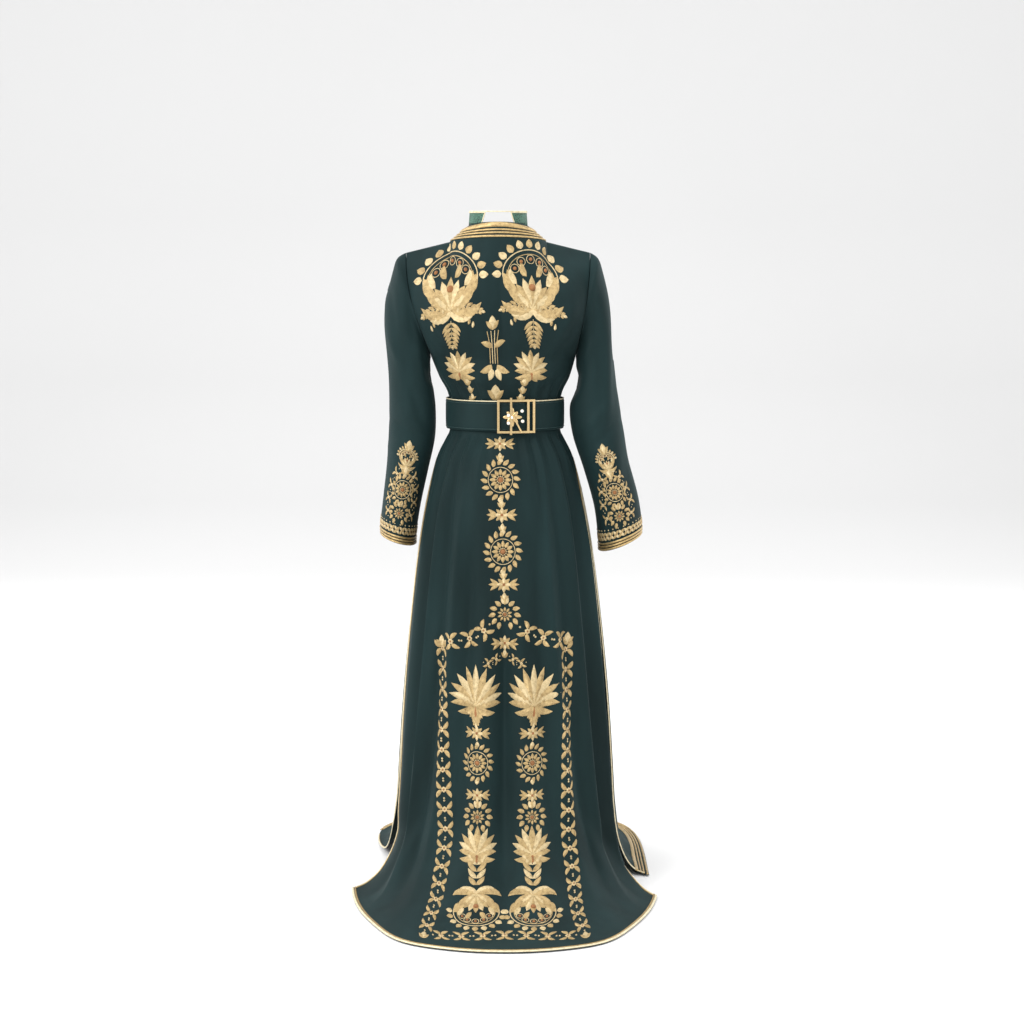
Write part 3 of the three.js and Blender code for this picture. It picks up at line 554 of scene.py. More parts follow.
def thread_material(name, dark, light, twist, pitch, metallic=0.55, roughness=0.38, bump=0.5):
    """Metal thread laid along the strip's own length, with its twist as relief and shade painted into the
    twist's grooves: the dark colour lies in the grooves, the light colour on the crests.
    """
    material, surface = shader(name, light, roughness, metallic)
    tree = material.node_tree
    along = node(tree, "ShaderNodeUVMap", uv_map="UVMap").outputs["UV"]
    split = node(tree, "ShaderNodeSeparateXYZ", {0: along})
    side = node(tree, "ShaderNodeMath", {0: split.outputs["Y"]}, operation="ABSOLUTE")
    slant = node(tree, "ShaderNodeMath", {0: side.outputs[0], 1: twist}, operation="MULTIPLY")
    total = node(tree, "ShaderNodeMath", {0: split.outputs["X"], 1: slant.outputs[0]}, operation="ADD")
    turns_by = 2 * math.pi / pitch
    scaled = node(tree, "ShaderNodeMath", {0: total.outputs[0], 1: turns_by}, operation="MULTIPLY")
    wave = node(tree, "ShaderNodeMath", {0: scaled.outputs[0]}, operation="SINE")
    twist_shade_and_relief = node(tree, "ShaderNodeMapRange", {"Value": wave.outputs[0], "From Min": -1.0, "From Max": 1.0})
    place = node(tree, "ShaderNodeTexCoord").outputs["Object"]
    patch = node(tree, "ShaderNodeTexNoise", {"Vector": place, "Scale": 160.0, "Detail": 3.0})
    amount = node(tree, "ShaderNodeMath", {0: twist_shade_and_relief.outputs[0], 1: 0.45}, operation="MULTIPLY")
    both = node(tree, "ShaderNodeMath", {0: amount.outputs[0], 1: patch.outputs["Fac"]}, operation="ADD")
    # The ramp paints shade: the dark colour falls in the twist's grooves and the light colour on its crests,
    # with random patches of tone mixed in.
    ramp = node(tree, "ShaderNodeValToRGB", {"Fac": both.outputs[0]})
    ramp.color_ramp.elements[0].color, ramp.color_ramp.elements[0].position = (*dark, 1), 0.35
    ramp.color_ramp.elements[1].color, ramp.color_ramp.elements[1].position = (*light, 1), 0.85
    tree.links.new(ramp.outputs["Color"], surface.inputs["Base Color"])
    relief = node(tree, "ShaderNodeBump", {"Height": both.outputs[0], "Strength": bump, "Distance": 0.0008})
    tree.links.new(relief.outputs["Normal"], surface.inputs["Normal"])
    return material


# In each thread finish below, the first colour is painted shade for the grooves of the twist and the second is
# the thread's own colour.
GOLD_BRAID = thread_material("gold_braid", (0.17, 0.10, 0.032), (0.58, 0.42, 0.19), 1.2, 0.0032)
IVORY_CORD = thread_material("ivory_cord", (0.42, 0.34, 0.19), (0.80, 0.72, 0.50), 1.0, 0.0026, 0.25, 0.5)
OLD_GOLD_CORD = thread_material(
    "old_gold_cord", (0.12, 0.07, 0.02), (0.42, 0.29, 0.12), 1.0, 0.0026, 0.4, 0.45
)


def edge_line(cloth, edge, distance):
    """The points and outward directions of a line at a distance inside a cloth's edge."""
    points, normal = cloth["points"], cloth["normal"]
    if edge in ("bottom", "top"):
        points, normal = points.transpose(1, 0, 2), normal.transpose(1, 0, 2)
    if edge in ("bottom", "last"):
        points, normal = points[:, ::-1], normal[:, ::-1]
    near = points[:, :EDGE_DEPTH]
    steps = np.linalg.norm(np.diff(near, axis=1), axis=-1)
    run = np.concatenate([np.zeros((len(near), 1)), np.cumsum(steps, axis=1)], axis=1)
    place = np.array([np.interp(distance, r, np.arange(r.size)) for r in run])
    low = np.minimum(place.astype(int), near.shape[1] - 2)
    part = (place - low)[:, None]
    line = np.arange(len(near))
    at = near[line, low] * (1 - part) + near[line, low + 1] * part
    return at, normal[line, low]


def strip(points, outward, width, height, loop=False, lift=BRAID_LIFT):
    """A half-round strip along a line: its vertices, faces and each corner's place along and across."""
    ahead = (np.roll(points, -1, 0) - np.roll(points, 1, 0)) if loop else np.gradient(points, axis=0)
    side = np.cross(ahead, outward)
    side /= np.maximum(np.linalg.norm(side, axis=-1, keepdims=True), 1e-9)
    turn = np.linspace(0, np.pi, BRAID_SECTION)
    offset, raised = np.cos(turn) * width / 2, np.sin(turn) * height + lift
    offset, raised = np.append(offset, [-width / 2, width / 2]), np.append(raised, [-lift, -lift])
    ring = points[:, None] + side[:, None] * offset[None, :, None]
    ring = ring + outward[:, None] * raised[None, :, None]
    count, around = ring.shape[:2]
    index = np.arange(count * around).reshape(count, around)
    following = np.roll(index, -1, axis=0) if loop else index[1:]
    here = index if loop else index[:-1]
    faces = [
        (here[i, k], following[i, k], following[i, (k + 1) % around], here[i, (k + 1) % around])
        for i in range(len(here)) for k in range(around)
    ]
    if not loop:
        faces += [tuple(index[0]), tuple(index[-1][::-1])]
    step = np.linalg.norm(np.diff(points, axis=0), axis=-1)
    run = np.concatenate([[0], np.cumsum(step)])
    place = np.stack([np.repeat(run, around), np.tile(offset, count)], -1)
    return ring.reshape(-1, 3), faces, place


def joined(name, parts, materials):
    """One piece from several parts, each with its vertices, faces, places for the thread, and finish."""
    vertices, faces, places, finishes, start = [], [], [], [], 0
    for points, part_faces, place, finish in parts:
        vertices.append(points)
        places.append(place)
        faces += [tuple(i + start for i in face) for face in part_faces]
        finishes += [finish] * len(part_faces)
        start += len(points)
    places = np.concatenate(places)
    piece = new_mesh(name, lowered(np.concatenate(vertices)), faces)
    layer = piece.data.uv_layers.new(name="UVMap")
    corners = np.zeros(len(piece.data.loops), dtype=np.int32)
    piece.data.loops.foreach_get("vertex_index", corners)
    layer.data.foreach_set("uv", places[corners].astype(np.float32).ravel())
    for material in materials:
        piece.data.materials.append(material)
    piece.data.polygons.foreach_set("material_index", finishes)
    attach(piece, "root")
    return piece


# The four braids of a border: distance of each from the edge, its width and its height.
BORDER_BRAIDS = [
    (0.0035, 0.0046, 0.0017),
    (0.0115, 0.0040, 0.0015),
    (0.0185, 0.0040, 0.0015),
    (0.0280, 0.0090, 0.0020),
]
SLIT_LINE = YOKE_LINES + SLIT_ROW * LINES_PER_ROW


def border(cloth, edge, braids, finish=0, span=slice(None)):
    parts = []
    for distance, width, height in braids:
        at, outward = edge_line(cloth, edge, distance)
        parts.append((*strip(at[span], outward[span], width, height), finish))
    return parts


trims = {"back": [], "left": [], "right": [], "sleeve_left": [], "sleeve_right": []}
for side in ("left", "right"):
    cloth = FRONT_CLOTH[side]
    middle, slit = ("last", "first") if side == "left" else ("first", "last")
    down_edge = border(cloth, middle, BORDER_BRAIDS, 0, slice(3, -8))
    piece = joined("front_braid_" + side, down_edge, [GOLD_BRAID])
    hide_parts("border_middle_" + side)
    trims[side].append(piece)
    piece = joined("hem_braid_" + side, border(cloth, "bottom", BORDER_BRAIDS), [GOLD_BRAID])
    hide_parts("border_hem_" + side)
    trims[side].append(piece)
    ivory = border(cloth, slit, [(0.0020, 0.0034, 0.0016)], 0, slice(SLIT_LINE, -4))
    dull = border(cloth, slit, [(0.0064, 0.0030, 0.0012)], 1, slice(SLIT_LINE, -4))
    piece = joined("slit_cord_" + side, ivory + dull, [IVORY_CORD, OLD_GOLD_CORD])
    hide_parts("piping_slit_" + side)
    trims[side].append(piece)

# The back's edges: an ivory cord with a duller gold one inside it, along the hem and up both slits.
BACK_CORDS = [((0.0026, 0.0048, 0.0020), 0), ((0.0082, 0.0036, 0.0013), 1)]
hem_parts, side_parts = [], []
for (distance, width, height), finish in BACK_CORDS:
    hem_parts += border(BACK_CLOTH, "bottom", [(distance, width, height)], finish)
    for edge in ("first", "last"):
        slimmer = [(distance, width * 0.7, height * 0.8)]
        side_parts += border(BACK_CLOTH, edge, slimmer, finish, slice(SLIT_LINE, -3))
back_cord = joined("hem_cord_back", hem_parts, [IVORY_CORD, OLD_GOLD_CORD])
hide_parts("hem_piping_back")
back_slit_cords = joined("slit_cords_back", side_parts, [IVORY_CORD, OLD_GOLD_CORD])
trims["back"] += [back_cord, back_slit_cords]

# The cuffs: three braids round each open end.
CUFF_BRAIDS = [(0.0030, 0.0046, 0.0020), (0.0092, 0.0042, 0.0017), (0.0152, 0.0042, 0.0017)]
for side in ("left", "right"):
    parts = []
    for distance, width, height in CUFF_BRAIDS:
        at, outward = edge_line(SLEEVE_CLOTH[side], "bottom", distance)
        parts.append((*strip(at, outward, width, height, loop=True), 0))
    piece = joined("cuff_braid_" + side, parts, [GOLD_BRAID])
    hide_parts("border_cuff_" + side)
    trims["sleeve_" + side].append(piece)

# The neck border: a shaped green band sewn round the neck from throat to throat, with three braids and one
# broad braid on it. It stands a little, following the base of the neck.
NECK_LINES, NECK_ROWS, THROAT_STOP = 90, 12, 1.96
NECK_BRAIDS = [
    (0.0030, 0.0046, 0.0018),
    (0.0115, 0.0042, 0.0016),
    (0.0190, 0.0042, 0.0016),
    (0.0315, 0.0120, 0.0024),
]
neck_share = np.linspace(-THROAT_STOP, THROAT_STOP, 2 * NECK_LINES + 1)
neck_sign = np.where(neck_share < 0, -1.0, 1.0)
low_line = neck_points(NECK_EDGE, np.abs(neck_share), neck_sign)
high_line = neck_points(NECK_TOP, np.abs(neck_share), neck_sign)
rise_share = np.linspace(1, 0.02, NECK_ROWS)[:, None, None]
neck_band_points = low_line + (high_line - low_line) * rise_share
NECK_CLOTH = cloth_of(neck_band_points)
neck_band = sheet_piece("neck_band", neck_band_points, CREPE, 0.0016)
neck_braids = joined("neck_braids", border(NECK_CLOTH, "bottom", NECK_BRAIDS), [GOLD_BRAID])
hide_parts("border_neck")

# The lace neck pieces: green lace that stands up at both sides of the neck inside the border, edged with
# ivory cord, and a fine cord across the bare nape that joins them.
STAND = {"width": 0.059, "back": 0.050, "front": 0.062, "bottom": 1.389, "top": 1.413, "foot": 1.03}
LACE_FROM, LACE_TO, LACE_LINES, LACE_ROWS = 26, 118, 40, 9
LACE_CORD = [(0.0006, 0.0022, 0.0011)]


def stand_points(angle, share, sign):
    turn = np.radians(angle)
    size = STAND["foot"] + (1 - STAND["foot"]) * share
    reach = np.where(np.cos(turn) > 0, STAND["back"], STAND["front"])
    forward = np.maximum(-np.cos(turn), 0)
    low = STAND["bottom"] - 0.026 * forward
    high = STAND["top"] + (low + 0.008 - STAND["top"]) * forward**2
    height = low + (high - low) * share
    across = sign * STAND["width"] * size * np.sin(turn) + lean_at(height)
    return np.stack([across, reach * size * np.cos(turn), height], -1)


LACE, lace_surface = shader("green_lace", (0.012, 0.045, 0.032), 0.6)
lace_tree = LACE.node_tree
lace_place = node(lace_tree, "ShaderNodeTexCoord").outputs["Object"]
lace_cells = node(lace_tree, "ShaderNodeTexVoronoi", {"Vector": lace_place, "Scale": 260.0})
lace_cells.feature = "DISTANCE_TO_EDGE"
lace_ramp = node(lace_tree, "ShaderNodeValToRGB", {"Fac": lace_cells.outputs["Distance"]})
lace_thread, lace_ground = lace_ramp.color_ramp.elements
lace_thread.color = (0.05, 0.15, 0.10, 1)
lace_thread.position = 0.05
lace_ground.color = (0.006, 0.02, 0.015, 1)
lace_ground.position = 0.30
lace_tree.links.new(lace_ramp.outputs["Color"], lace_surface.inputs["Base Color"])
lace_height = lace_cells.outputs["Distance"]
lace_relief = node(lace_tree, "ShaderNodeBump", {"Height": lace_height, "Strength": -0.6, "Distance": 0.001})
lace_tree.links.new(lace_relief.outputs["Normal"], lace_surface.inputs["Normal"])

lace_pieces, lace_edges = {}, []
for side, sign in (("left", 1.0), ("right", -1.0)):
    share = np.linspace(0, 1, LACE_LINES + 1)
    lines = []
    for up_share in np.linspace(1, 0, LACE_ROWS):
        rounding = 7 * (1 - up_share) * np.exp(-share * 8)
        line = stand_points(LACE_FROM + rounding + (LACE_TO - LACE_FROM - rounding) * share, up_share, sign)
        lines.append(line if sign > 0 else line[::-1])
    lace_grid = np.array(lines)
    lace_pieces[side] = sheet_piece("lace_" + side, lace_grid, LACE, 0.0012)
    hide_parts("neck_lace_" + side)
    lace_cloth = cloth_of(lace_grid)
    back_end = "first" if sign > 0 else "last"
    parts = border(lace_cloth, "top", LACE_CORD) + border(lace_cloth, back_end, LACE_CORD)
    lace_edges.append(joined("lace_edge_" + side, parts, [IVORY_CORD]))

# The belt: a flat band of doubled crepe, stitched along both edges, that holds the kaftan in at the waist. An
# ivory cord edges its top.
BELT = {"bottom": 0.967, "top": 1.029, "side": 0.1215, "back": 0.0885, "front": 0.103, "thick": 0.0024}
BELT_LINES, BELT_ROWS = 160, 14
BELT_ROLL = 0.0016
belt_turn = np.radians(np.arange(BELT_LINES) * 360 / BELT_LINES)


def belt_line(height, out=0.0):
    reach = np.where(np.cos(belt_turn) > 0, BELT["back"], BELT["front"]) + out
    across = (BELT["side"] + out) * np.sin(belt_turn)
    return np.stack([across, reach * np.cos(belt_turn), np.full(across.shape, height)], -1)


belt_heights = np.linspace(BELT["top"], BELT["bottom"], BELT_ROWS)
belt_points = []
for height in belt_heights:
    level = (height - BELT["bottom"]) / (BELT["top"] - BELT["bottom"]) * 2 - 1
    ripple = 0.0005 * np.sin(belt_turn * 7 + 2 * level)
    belt_points.append(belt_line(height, BELT["thick"] - BELT_ROLL * abs(level) ** 6))
belt_points = np.array(belt_points)
BELT_CREPE = cloth_material(
    "belt_crepe", (0.0040, 0.0145, 0.0150), (0.0075, 0.0240, 0.0245), 1300, 0.35, 0.66
)
belt = sheet_piece("belt_band", belt_points, BELT_CREPE, BELT["thick"], loop=True)
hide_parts("belt")
belt_normal = outward_of(belt_points, True)
belt_parts = []
BELT_CORDS = ((0, 0.0022, 0.0010, 0), (1, 0.0007, 0.0003, 1), (BELT_ROWS - 2, 0.0007, 0.0003, 1))
for row, width, lift, finish in BELT_CORDS:
    belt_parts.append((*strip(belt_points[row], belt_normal[row], width, lift, loop=True), finish))
# The stitch thread's first colour is painted shade for the grooves of the stitching, the second its own colour.
STITCH = thread_material("green_stitch", (0.010, 0.028, 0.028), (0.030, 0.070, 0.068), 0.0, 0.003, 0.0, 0.6)
belt_edges = joined("belt_edges", belt_parts, [IVORY_CORD, STITCH])

# The embroidery: flowers, palmettes, ferns and chains of leaves worked by hand in metal thread and sewn
# beads, raised over padding. Every leaf is a low dome of satin stitch, every bead a small dome. Places are
# in the cloth's own sizes: across from the panel's middle to the wearer's left, and up from the belt.
# In each stitch finish below, the first colour is painted shade for the grooves of the twist and the second is
# the thread's own colour.
STITCH_GOLD = thread_material(
    "gold_stitch", (0.17, 0.105, 0.036), (0.54, 0.39, 0.18), 0.8, 0.0011, 0.45, 0.42, 0.7
)
STITCH_AMBER = thread_material(
    "amber_stitch", (0.11, 0.040, 0.012), (0.34, 0.145, 0.045), 0.5, 0.0011, 0.25, 0.5, 0.6
)
STITCH_PALE = thread_material(
    "pale_stitch", (0.28, 0.20, 0.085), (0.66, 0.52, 0.29), 0.6, 0.0010, 0.35, 0.38, 0.6
)
GOLD, AMBER, PALE = 0, 1, 2
LEAF_FULLNESS = 1.35
LEAF_STEPS = 6
# Across a leaf: place from its spine, in half widths, and height of the padding there.
LEAF_SECTION = ((-1, 0), (-0.55, 0.8), (0, 1), (0.55, 0.8), (1, 0))
# Up a bead: radius and height, in shares of its own.
BEAD_RINGS = ((1.0, 0.0), (0.82, 0.6), (0.42, 0.93))


class Needle:
    """Collects raised motifs in a panel's own sizes, then lays them on the panel's cloth."""

    def __init__(self):
        self.points, self.faces, self.finishes, self.places = [], [], [], []
        self.total = 0
        self.where, self.turn = np.zeros(2), 0.0

    def at(self, across, up, turn=0.0):
        self.where, self.turn = np.array([across, up]), math.radians(turn)

    def put(self, points, faces, places, finish):
        points = np.array(points, float)
        sine, cosine = math.sin(self.turn), math.cos(self.turn)
        across = points[:, 0] * cosine - points[:, 1] * sine
        up = points[:, 0] * sine + points[:, 1] * cosine
        flat = np.stack([across, up], -1) + self.where
        self.points.append(np.column_stack([flat, points[:, 2]]))
        self.faces += [tuple(k + self.total for k in face) for face in faces]
        self.finishes += [finish] * len(faces)
        self.places.append(np.array(places, float))
        self.total += len(points)

    def leaf(self, root, angle, length, width, finish=GOLD, bend=0.0, rise_by=0.0012):
        """A pointed, curved, padded leaf that starts at its root and points to an angle from upwards."""
        spine, sides = [], []
        for k in range(LEAF_STEPS + 1):
            share = k / LEAF_STEPS
            heading = math.radians(angle + bend * (share - 0.5))
            if k == 0:
                place = np.array(root, float)
            else:
                place = place + np.array([-math.sin(heading), math.cos(heading)]) * length / LEAF_STEPS
            spine.append(place)
            sides.append(np.array([math.cos(heading), math.sin(heading)]))
        points, places, faces = [], [], []
        for k, (place, side) in enumerate(zip(spine, sides)):
            share = k / LEAF_STEPS
            swell = math.sin(math.pi * min(share**0.8, 1)) ** 0.75
            half = width * LEAF_FULLNESS / 2 * swell + width * 0.02
            for across, height in LEAF_SECTION:
                spot = place + side * across * half
                lift = rise_by * height * (0.25 + 0.75 * math.sin(math.pi * share) ** 0.5)
                points.append((spot[0], spot[1], lift))
                places.append((share * length, across * half))
        around = len(LEAF_SECTION)
        for k in range(LEAF_STEPS):
            for j in range(around - 1):
                a = k * around + j
                faces.append((a, a + 1, a + around + 1, a + around))
        self.put(points, faces, places, finish)

    def bead(self, where, radius, finish=GOLD, rise_by=None, around=8):
        rise_by = radius * 0.75 if rise_by is None else rise_by
        points, places, faces = [], [], []
        for spread, height in BEAD_RINGS:
            for k in range(around):
                turn = 2 * math.pi * k / around
                x, y = math.cos(turn) * radius * spread, math.sin(turn) * radius * spread
                points.append((where[0] + x, where[1] + y, rise_by * height))
                places.append((x, y))
        points.append((where[0], where[1], rise_by))
        places.append((0, 0))
        for level in range(2):
            for k in range(around):
                a, b = level * around + k, level * around + (k + 1) % around
                faces.append((a, b, b + around, a + around))
        for k in range(around):
            faces.append((2 * around + k, 2 * around + (k + 1) % around, 3 * around))
        self.put(points, faces, places, finish)

    def cord(self, line, width, finish=GOLD, rise_by=0.0009):
        line = np.array(line, float)
        ahead = np.gradient(line, axis=0)
        side = np.stack([ahead[:, 1], -ahead[:, 0]], -1)
        side /= np.maximum(np.linalg.norm(side, axis=-1, keepdims=True), 1e-9)
        run = np.concatenate([[0], np.cumsum(np.linalg.norm(np.diff(line, axis=0), axis=-1))])
        points, places, faces = [], [], []
        for spot, out, along in zip(line, side, run):
            for across, height in ((-1, 0), (0, 1), (1, 0)):
                points.append((*(spot - out * across * width / 2), rise_by * height))
                places.append((along, across * width / 2))
        for k in range(len(line) - 1):
            for j in range(2):
                a = k * 3 + j
                faces.append((a, a + 1, a + 4, a + 3))
        self.put(points, faces, places, finish)

    def arc(self, middle, radius, start, end, width, finish=GOLD, squash=1.0, steps=14):
        turns = np.radians(np.linspace(start, end, steps))
        line = np.stack([middle[0] - np.sin(turns) * radius, middle[1] + np.cos(turns) * radius * squash], -1)
        self.cord(line, width, finish)

    def laid(self, name, cloth, lift=0.0002):
        """The motifs as one piece that follows the cloth."""
        flat = np.concatenate(self.points)
        rows = np.interp(-flat[:, 1], -cloth["up"], np.arange(cloth["up"].size))
        low = np.clip(rows.astype(int), 0, len(cloth["up"]) - 2)
        part = rows - low
        columns = np.zeros(len(flat))
        line = np.arange(cloth["arc"].shape[1])
        for k in range(len(flat)):
            arc = cloth["arc"][low[k]] * (1 - part[k]) + cloth["arc"][low[k] + 1] * part[k]
            columns[k] = np.interp(flat[k, 0], arc, line)
        left = np.clip(columns.astype(int), 0, cloth["arc"].shape[1] - 2)
        side = (columns - left)[:, None]
        part = part[:, None]

        def mixed(grid):
            above = grid[low, left] * (1 - side) + grid[low, left + 1] * side
            below = grid[low + 1, left] * (1 - side) + grid[low + 1, left + 1] * side
            return above * (1 - part) + below * part

        points = mixed(cloth["points"]) + mixed(cloth["normal"]) * (flat[:, 2:] + lift)
        parts = [(points, self.faces, np.concatenate(self.places), 0)]
        piece = joined(name, parts, [STITCH_GOLD, STITCH_AMBER, STITCH_PALE])
        piece.data.polygons.foreach_set("material_index", self.finishes)
        return piece


def round_at(turned, radius, stretch=1.0, up=0.0):
    """The place at an angle round a motif's middle, measured from straight up."""
    turn = math.radians(turned)
    return (-math.sin(turn) * radius, up + math.cos(turn) * radius * stretch)


def daisy(needle, radius, petals, centre=AMBER):
    """A round flower: an amber eye, a ring of beads, petals and a beaded rim."""
    needle.bead((0, 0), radius * 0.24, centre, radius * 0.09, 14)
    for k in range(12):
        turn = 2 * math.pi * k / 12
        needle.bead((math.sin(turn) * radius * 0.31, math.cos(turn) * radius * 0.31), radius * 0.065, PALE)
    for k in range(petals):
        turn = 360 * k / petals
        needle.leaf(round_at(turn, radius * 0.40), turn, radius * 0.60, radius * 0.235, GOLD, 0, 0.0013)


def medallion(needle, across, up, width, height, turn=0.0):
    """A daisy inside a wreath of leaves, taller than it is wide, with a bud above and below."""
    needle.at(across, up, turn)
    radius = width / 2
    stretch = height / width
    daisy(needle, radius * 0.60, 12)
    needle.arc((0, 0), radius * 0.66, 0, 360, 0.0014, PALE, 1.04, 36)
    for k in range(16):
        turned = 360 * k / 16 + 11
        spot = round_at(turned, radius * 0.72, stretch)
        needle.leaf(spot, turned + 38, radius * 0.42, radius * 0.17, GOLD, -30, 0.0011)
    for sign in (1, -1):
        toward = 0 if sign > 0 else 180
        needle.leaf((0, sign * radius * 0.80 * stretch), toward, radius * 0.34, radius * 0.2, PALE)


def half_medallion(needle, across, up, width, height):
    needle.at(across, up)
    radius = width / 2
    daisy(needle, radius * 0.46, 10)
    for side in (1, -1):
        for k in range(5):
            turned = side * (28 + 30 * k)
            spot = round_at(turned, radius * 0.56)
            needle.leaf(spot, turned + side * 18, radius * 0.46, radius * 0.2, GOLD, side * 24)
        needle.leaf((0, height * 0.30), side * 24, radius * 0.5, radius * 0.18, PALE, -side * 40)
    needle.leaf((0, height * 0.28), 0, radius * 0.5, radius * 0.22, GOLD)


def star(needle, across, up, width, height):
    """A small eight-pointed star set sideways, with leaves to left and right."""
    needle.at(across, up)
    for k in range(8):
        needle.leaf((0, 0), 45 * k, height * 0.5, height * 0.17, GOLD if k % 2 else PALE)
    needle.bead((0, 0), height * 0.10, AMBER)
    for side in (1, -1):
        for tilt in (58, 90, 122):
            root = (-side * height * 0.30, 0)
            curl = side * (tilt - 90) * 0.8
            needle.leaf(root, side * tilt, width * 0.33, height * 0.16, GOLD, curl)


def bud(needle, across, up, size=0.014, turn=0.0):
    needle.at(across, up, turn)
    needle.leaf((0, -size * 0.6), 0, size * 1.2, size * 0.5, PALE)
    for side in (1, -1):
        needle.leaf((0, -size * 0.6), side * 34, size * 0.95, size * 0.32, GOLD, side * 30)


def lotus(needle, across, up, width, height, turn=0.0, petals=9):
    """An open lotus that fans upwards from a calyx, its middle petals the longest."""
    needle.at(across, up, turn)
    foot = (0, -height * 0.42)
    for k in range(petals):
        spread = (k / (petals - 1) - 0.5) * 2
        tilt = -spread * 82
        reach = height * (0.92 - 0.30 * abs(spread) ** 1.4)
        needle.leaf(foot, tilt, reach, width * 0.115, PALE if k % 2 else GOLD, -spread * 26, 0.0014)
    for k in range(7):
        spread = (k / 6 - 0.5) * 2
        tilt = math.radians(spread * 66)
        needle.bead((math.sin(tilt) * width * 0.20, foot[1] + math.cos(tilt) * width * 0.20), 0.0017, AMBER)
    for side in (1, -1):
        needle.leaf(foot, side * 112, width * 0.42, width * 0.10, GOLD, -side * 56)
        needle.leaf(foot, side * 150, width * 0.26, width * 0.09, GOLD, -side * 40)
    needle.leaf(foot, 180, height * 0.26, width * 0.10, AMBER)


def fern(needle, across, up, length, width, turn=0.0, pairs=7):
    """A stem with a leaf on either side at each step, the leaves shorter towards its tip."""
    needle.at(across, up, turn)
    needle.cord([(0, 0), (0, length * 0.5), (0, length)], 0.0013, PALE)
    for k in range(pairs):
        share = (k + 0.4) / pairs
        reach = width * 0.56 * (1 - 0.55 * share)
        for side in (1, -1):
            needle.leaf((0, length * share), side * 46, reach, length / pairs * 0.55, GOLD, -side * 22)
    needle.leaf((0, length * 0.96), 0, length / pairs, length / pairs * 0.5, PALE)


def palmette(needle, across, up, width, height, turn=0.0):
    """A tall palmette: an arched crown over loops, a flower in the body and long leaves curling out."""
    needle.at(across, up, turn)
    half = width / 2
    needle.arc((0, height * 0.16), half * 0.80, -100, 100, 0.0022, PALE, 0.86, 30)
    needle.arc((0, height * 0.16), half * 0.66, -100, 100, 0.0016, GOLD, 0.86, 28)
    for k in range(11):
        turned = (k - 5) * 18
        turn_by = math.radians(turned)
        spot = (-math.sin(turn_by) * half * 0.84, height * 0.16 + math.cos(turn_by) * half * 0.74)
        needle.leaf(spot, turned, half * 0.26, half * 0.15, GOLD if k % 2 else PALE)
    for k in range(5):
        turned = math.radians((k - 2) * 34)
        spot = (-math.sin(turned) * half * 0.50, height * 0.16 + math.cos(turned) * half * 0.43)
        needle.arc(spot, half * 0.12, 0, 360, 0.0014, PALE, 1, 12)
        needle.bead(spot, half * 0.055, AMBER)
    foot = (0, -height * 0.34)
    for side in (1, -1):
        needle.leaf(foot, side * 40, height * 0.74, half * 0.20, GOLD, -side * 74)
        needle.leaf(
            (-side * half * 0.42, height * 0.02), side * 30, height * 0.26, half * 0.15, PALE, -side * 66
        )
        needle.leaf(
            (-side * half * 0.14, height * 0.14), side * 24, height * 0.24, half * 0.13, GOLD, -side * 60
        )
    for k in range(7):
        spread = (k / 6 - 0.5) * 2
        reach = height * (0.50 - 0.10 * abs(spread))
        needle.leaf(foot, -spread * 52, reach, half * 0.20, GOLD if k % 2 else PALE, -spread * 20)
    needle.bead((0, -height * 0.02), half * 0.10, AMBER, None, 12)
    for side in (1, -1):
        needle.leaf(foot, side * 88, half * 0.98, half * 0.20, GOLD, -side * 92, 0.0014)
        needle.leaf(foot, side * 116, half * 0.70, half * 0.16, PALE, -side * 84)
        needle.leaf(
            (-side * half * 0.66, -height * 0.10), side * 12, height * 0.30, half * 0.17, GOLD, side * 44
        )
        needle.leaf(
            (-side * half * 0.30, -height * 0.36), side * 160, height * 0.16, half * 0.14, GOLD, -side * 30
        )


def link(needle, across, up, turn, length=0.046, width=0.026):
    """One oval link of a chain: a small flower held by four curved leaves."""
    needle.at(across, up, turn)
    for side in (1, -1):
        for end in (1, -1):
            tilt = side * 40 if end > 0 else side * 140
            root = (-side * width * 0.16, end * length * 0.04)
            needle.leaf(root, tilt, length * 0.46, width * 0.24, GOLD, -side * end * 60)
    for k in range(6):
        needle.leaf((0, 0), 60 * k, width * 0.25, width * 0.16, PALE)
    needle.bead((0, 0), width * 0.10, AMBER)
    for end in (1, -1):
        needle.bead((0, end * length * 0.42), width * 0.085, PALE)


def chain(needle, line, spacing=0.044, length=0.046, width=0.026):
    line = np.array(line, float)
    run = np.concatenate([[0], np.cumsum(np.linalg.norm(np.diff(line, axis=0), axis=-1))])
    count = max(int(round(run[-1] / spacing)), 1)
    for k in range(count):
        here, after = ((k + part) / count * run[-1] for part in (0.35, 0.65))
        a = np.array([np.interp(here, run, line[:, i]) for i in (0, 1)])
        b = np.array([np.interp(after, run, line[:, i]) for i in (0, 1)])
        turned = math.degrees(math.atan2(a[0] - b[0], b[1] - a[1]))
        link(needle, *((a + b) / 2), turned, length, width)


UPPER_MIDDLE = 0.019
yoke_work = Needle()
for side in (1, -1):
    axis = UPPER_MIDDLE + side * 0.085
    palmette(yoke_work, axis, 0.272, 0.148, 0.130)
    for outward in (1, -1):
        fern(yoke_work, axis + outward * 0.022, 0.238, 0.046, 0.030, -outward * 112, 5)
    fern(yoke_work, axis, 0.208, 0.056, 0.052, 180, 6)
    for arm in range(6):
        for outward in (1, -1):
            yoke_work.at(axis + outward * (0.006 + arm * 0.0075), 0.228 - arm * 0.0075)
            yoke_work.leaf((0, 0), -outward * 12, 0.013, 0.0042, PALE if arm % 2 else GOLD, outward * 20)
    lotus(yoke_work, UPPER_MIDDLE + side * 0.0755, 0.115, 0.090, 0.056)
    for step in range(3):
        bud(yoke_work, UPPER_MIDDLE + side * (0.060 - 0.004 * step), 0.072 - 0.018 * step, 0.016)
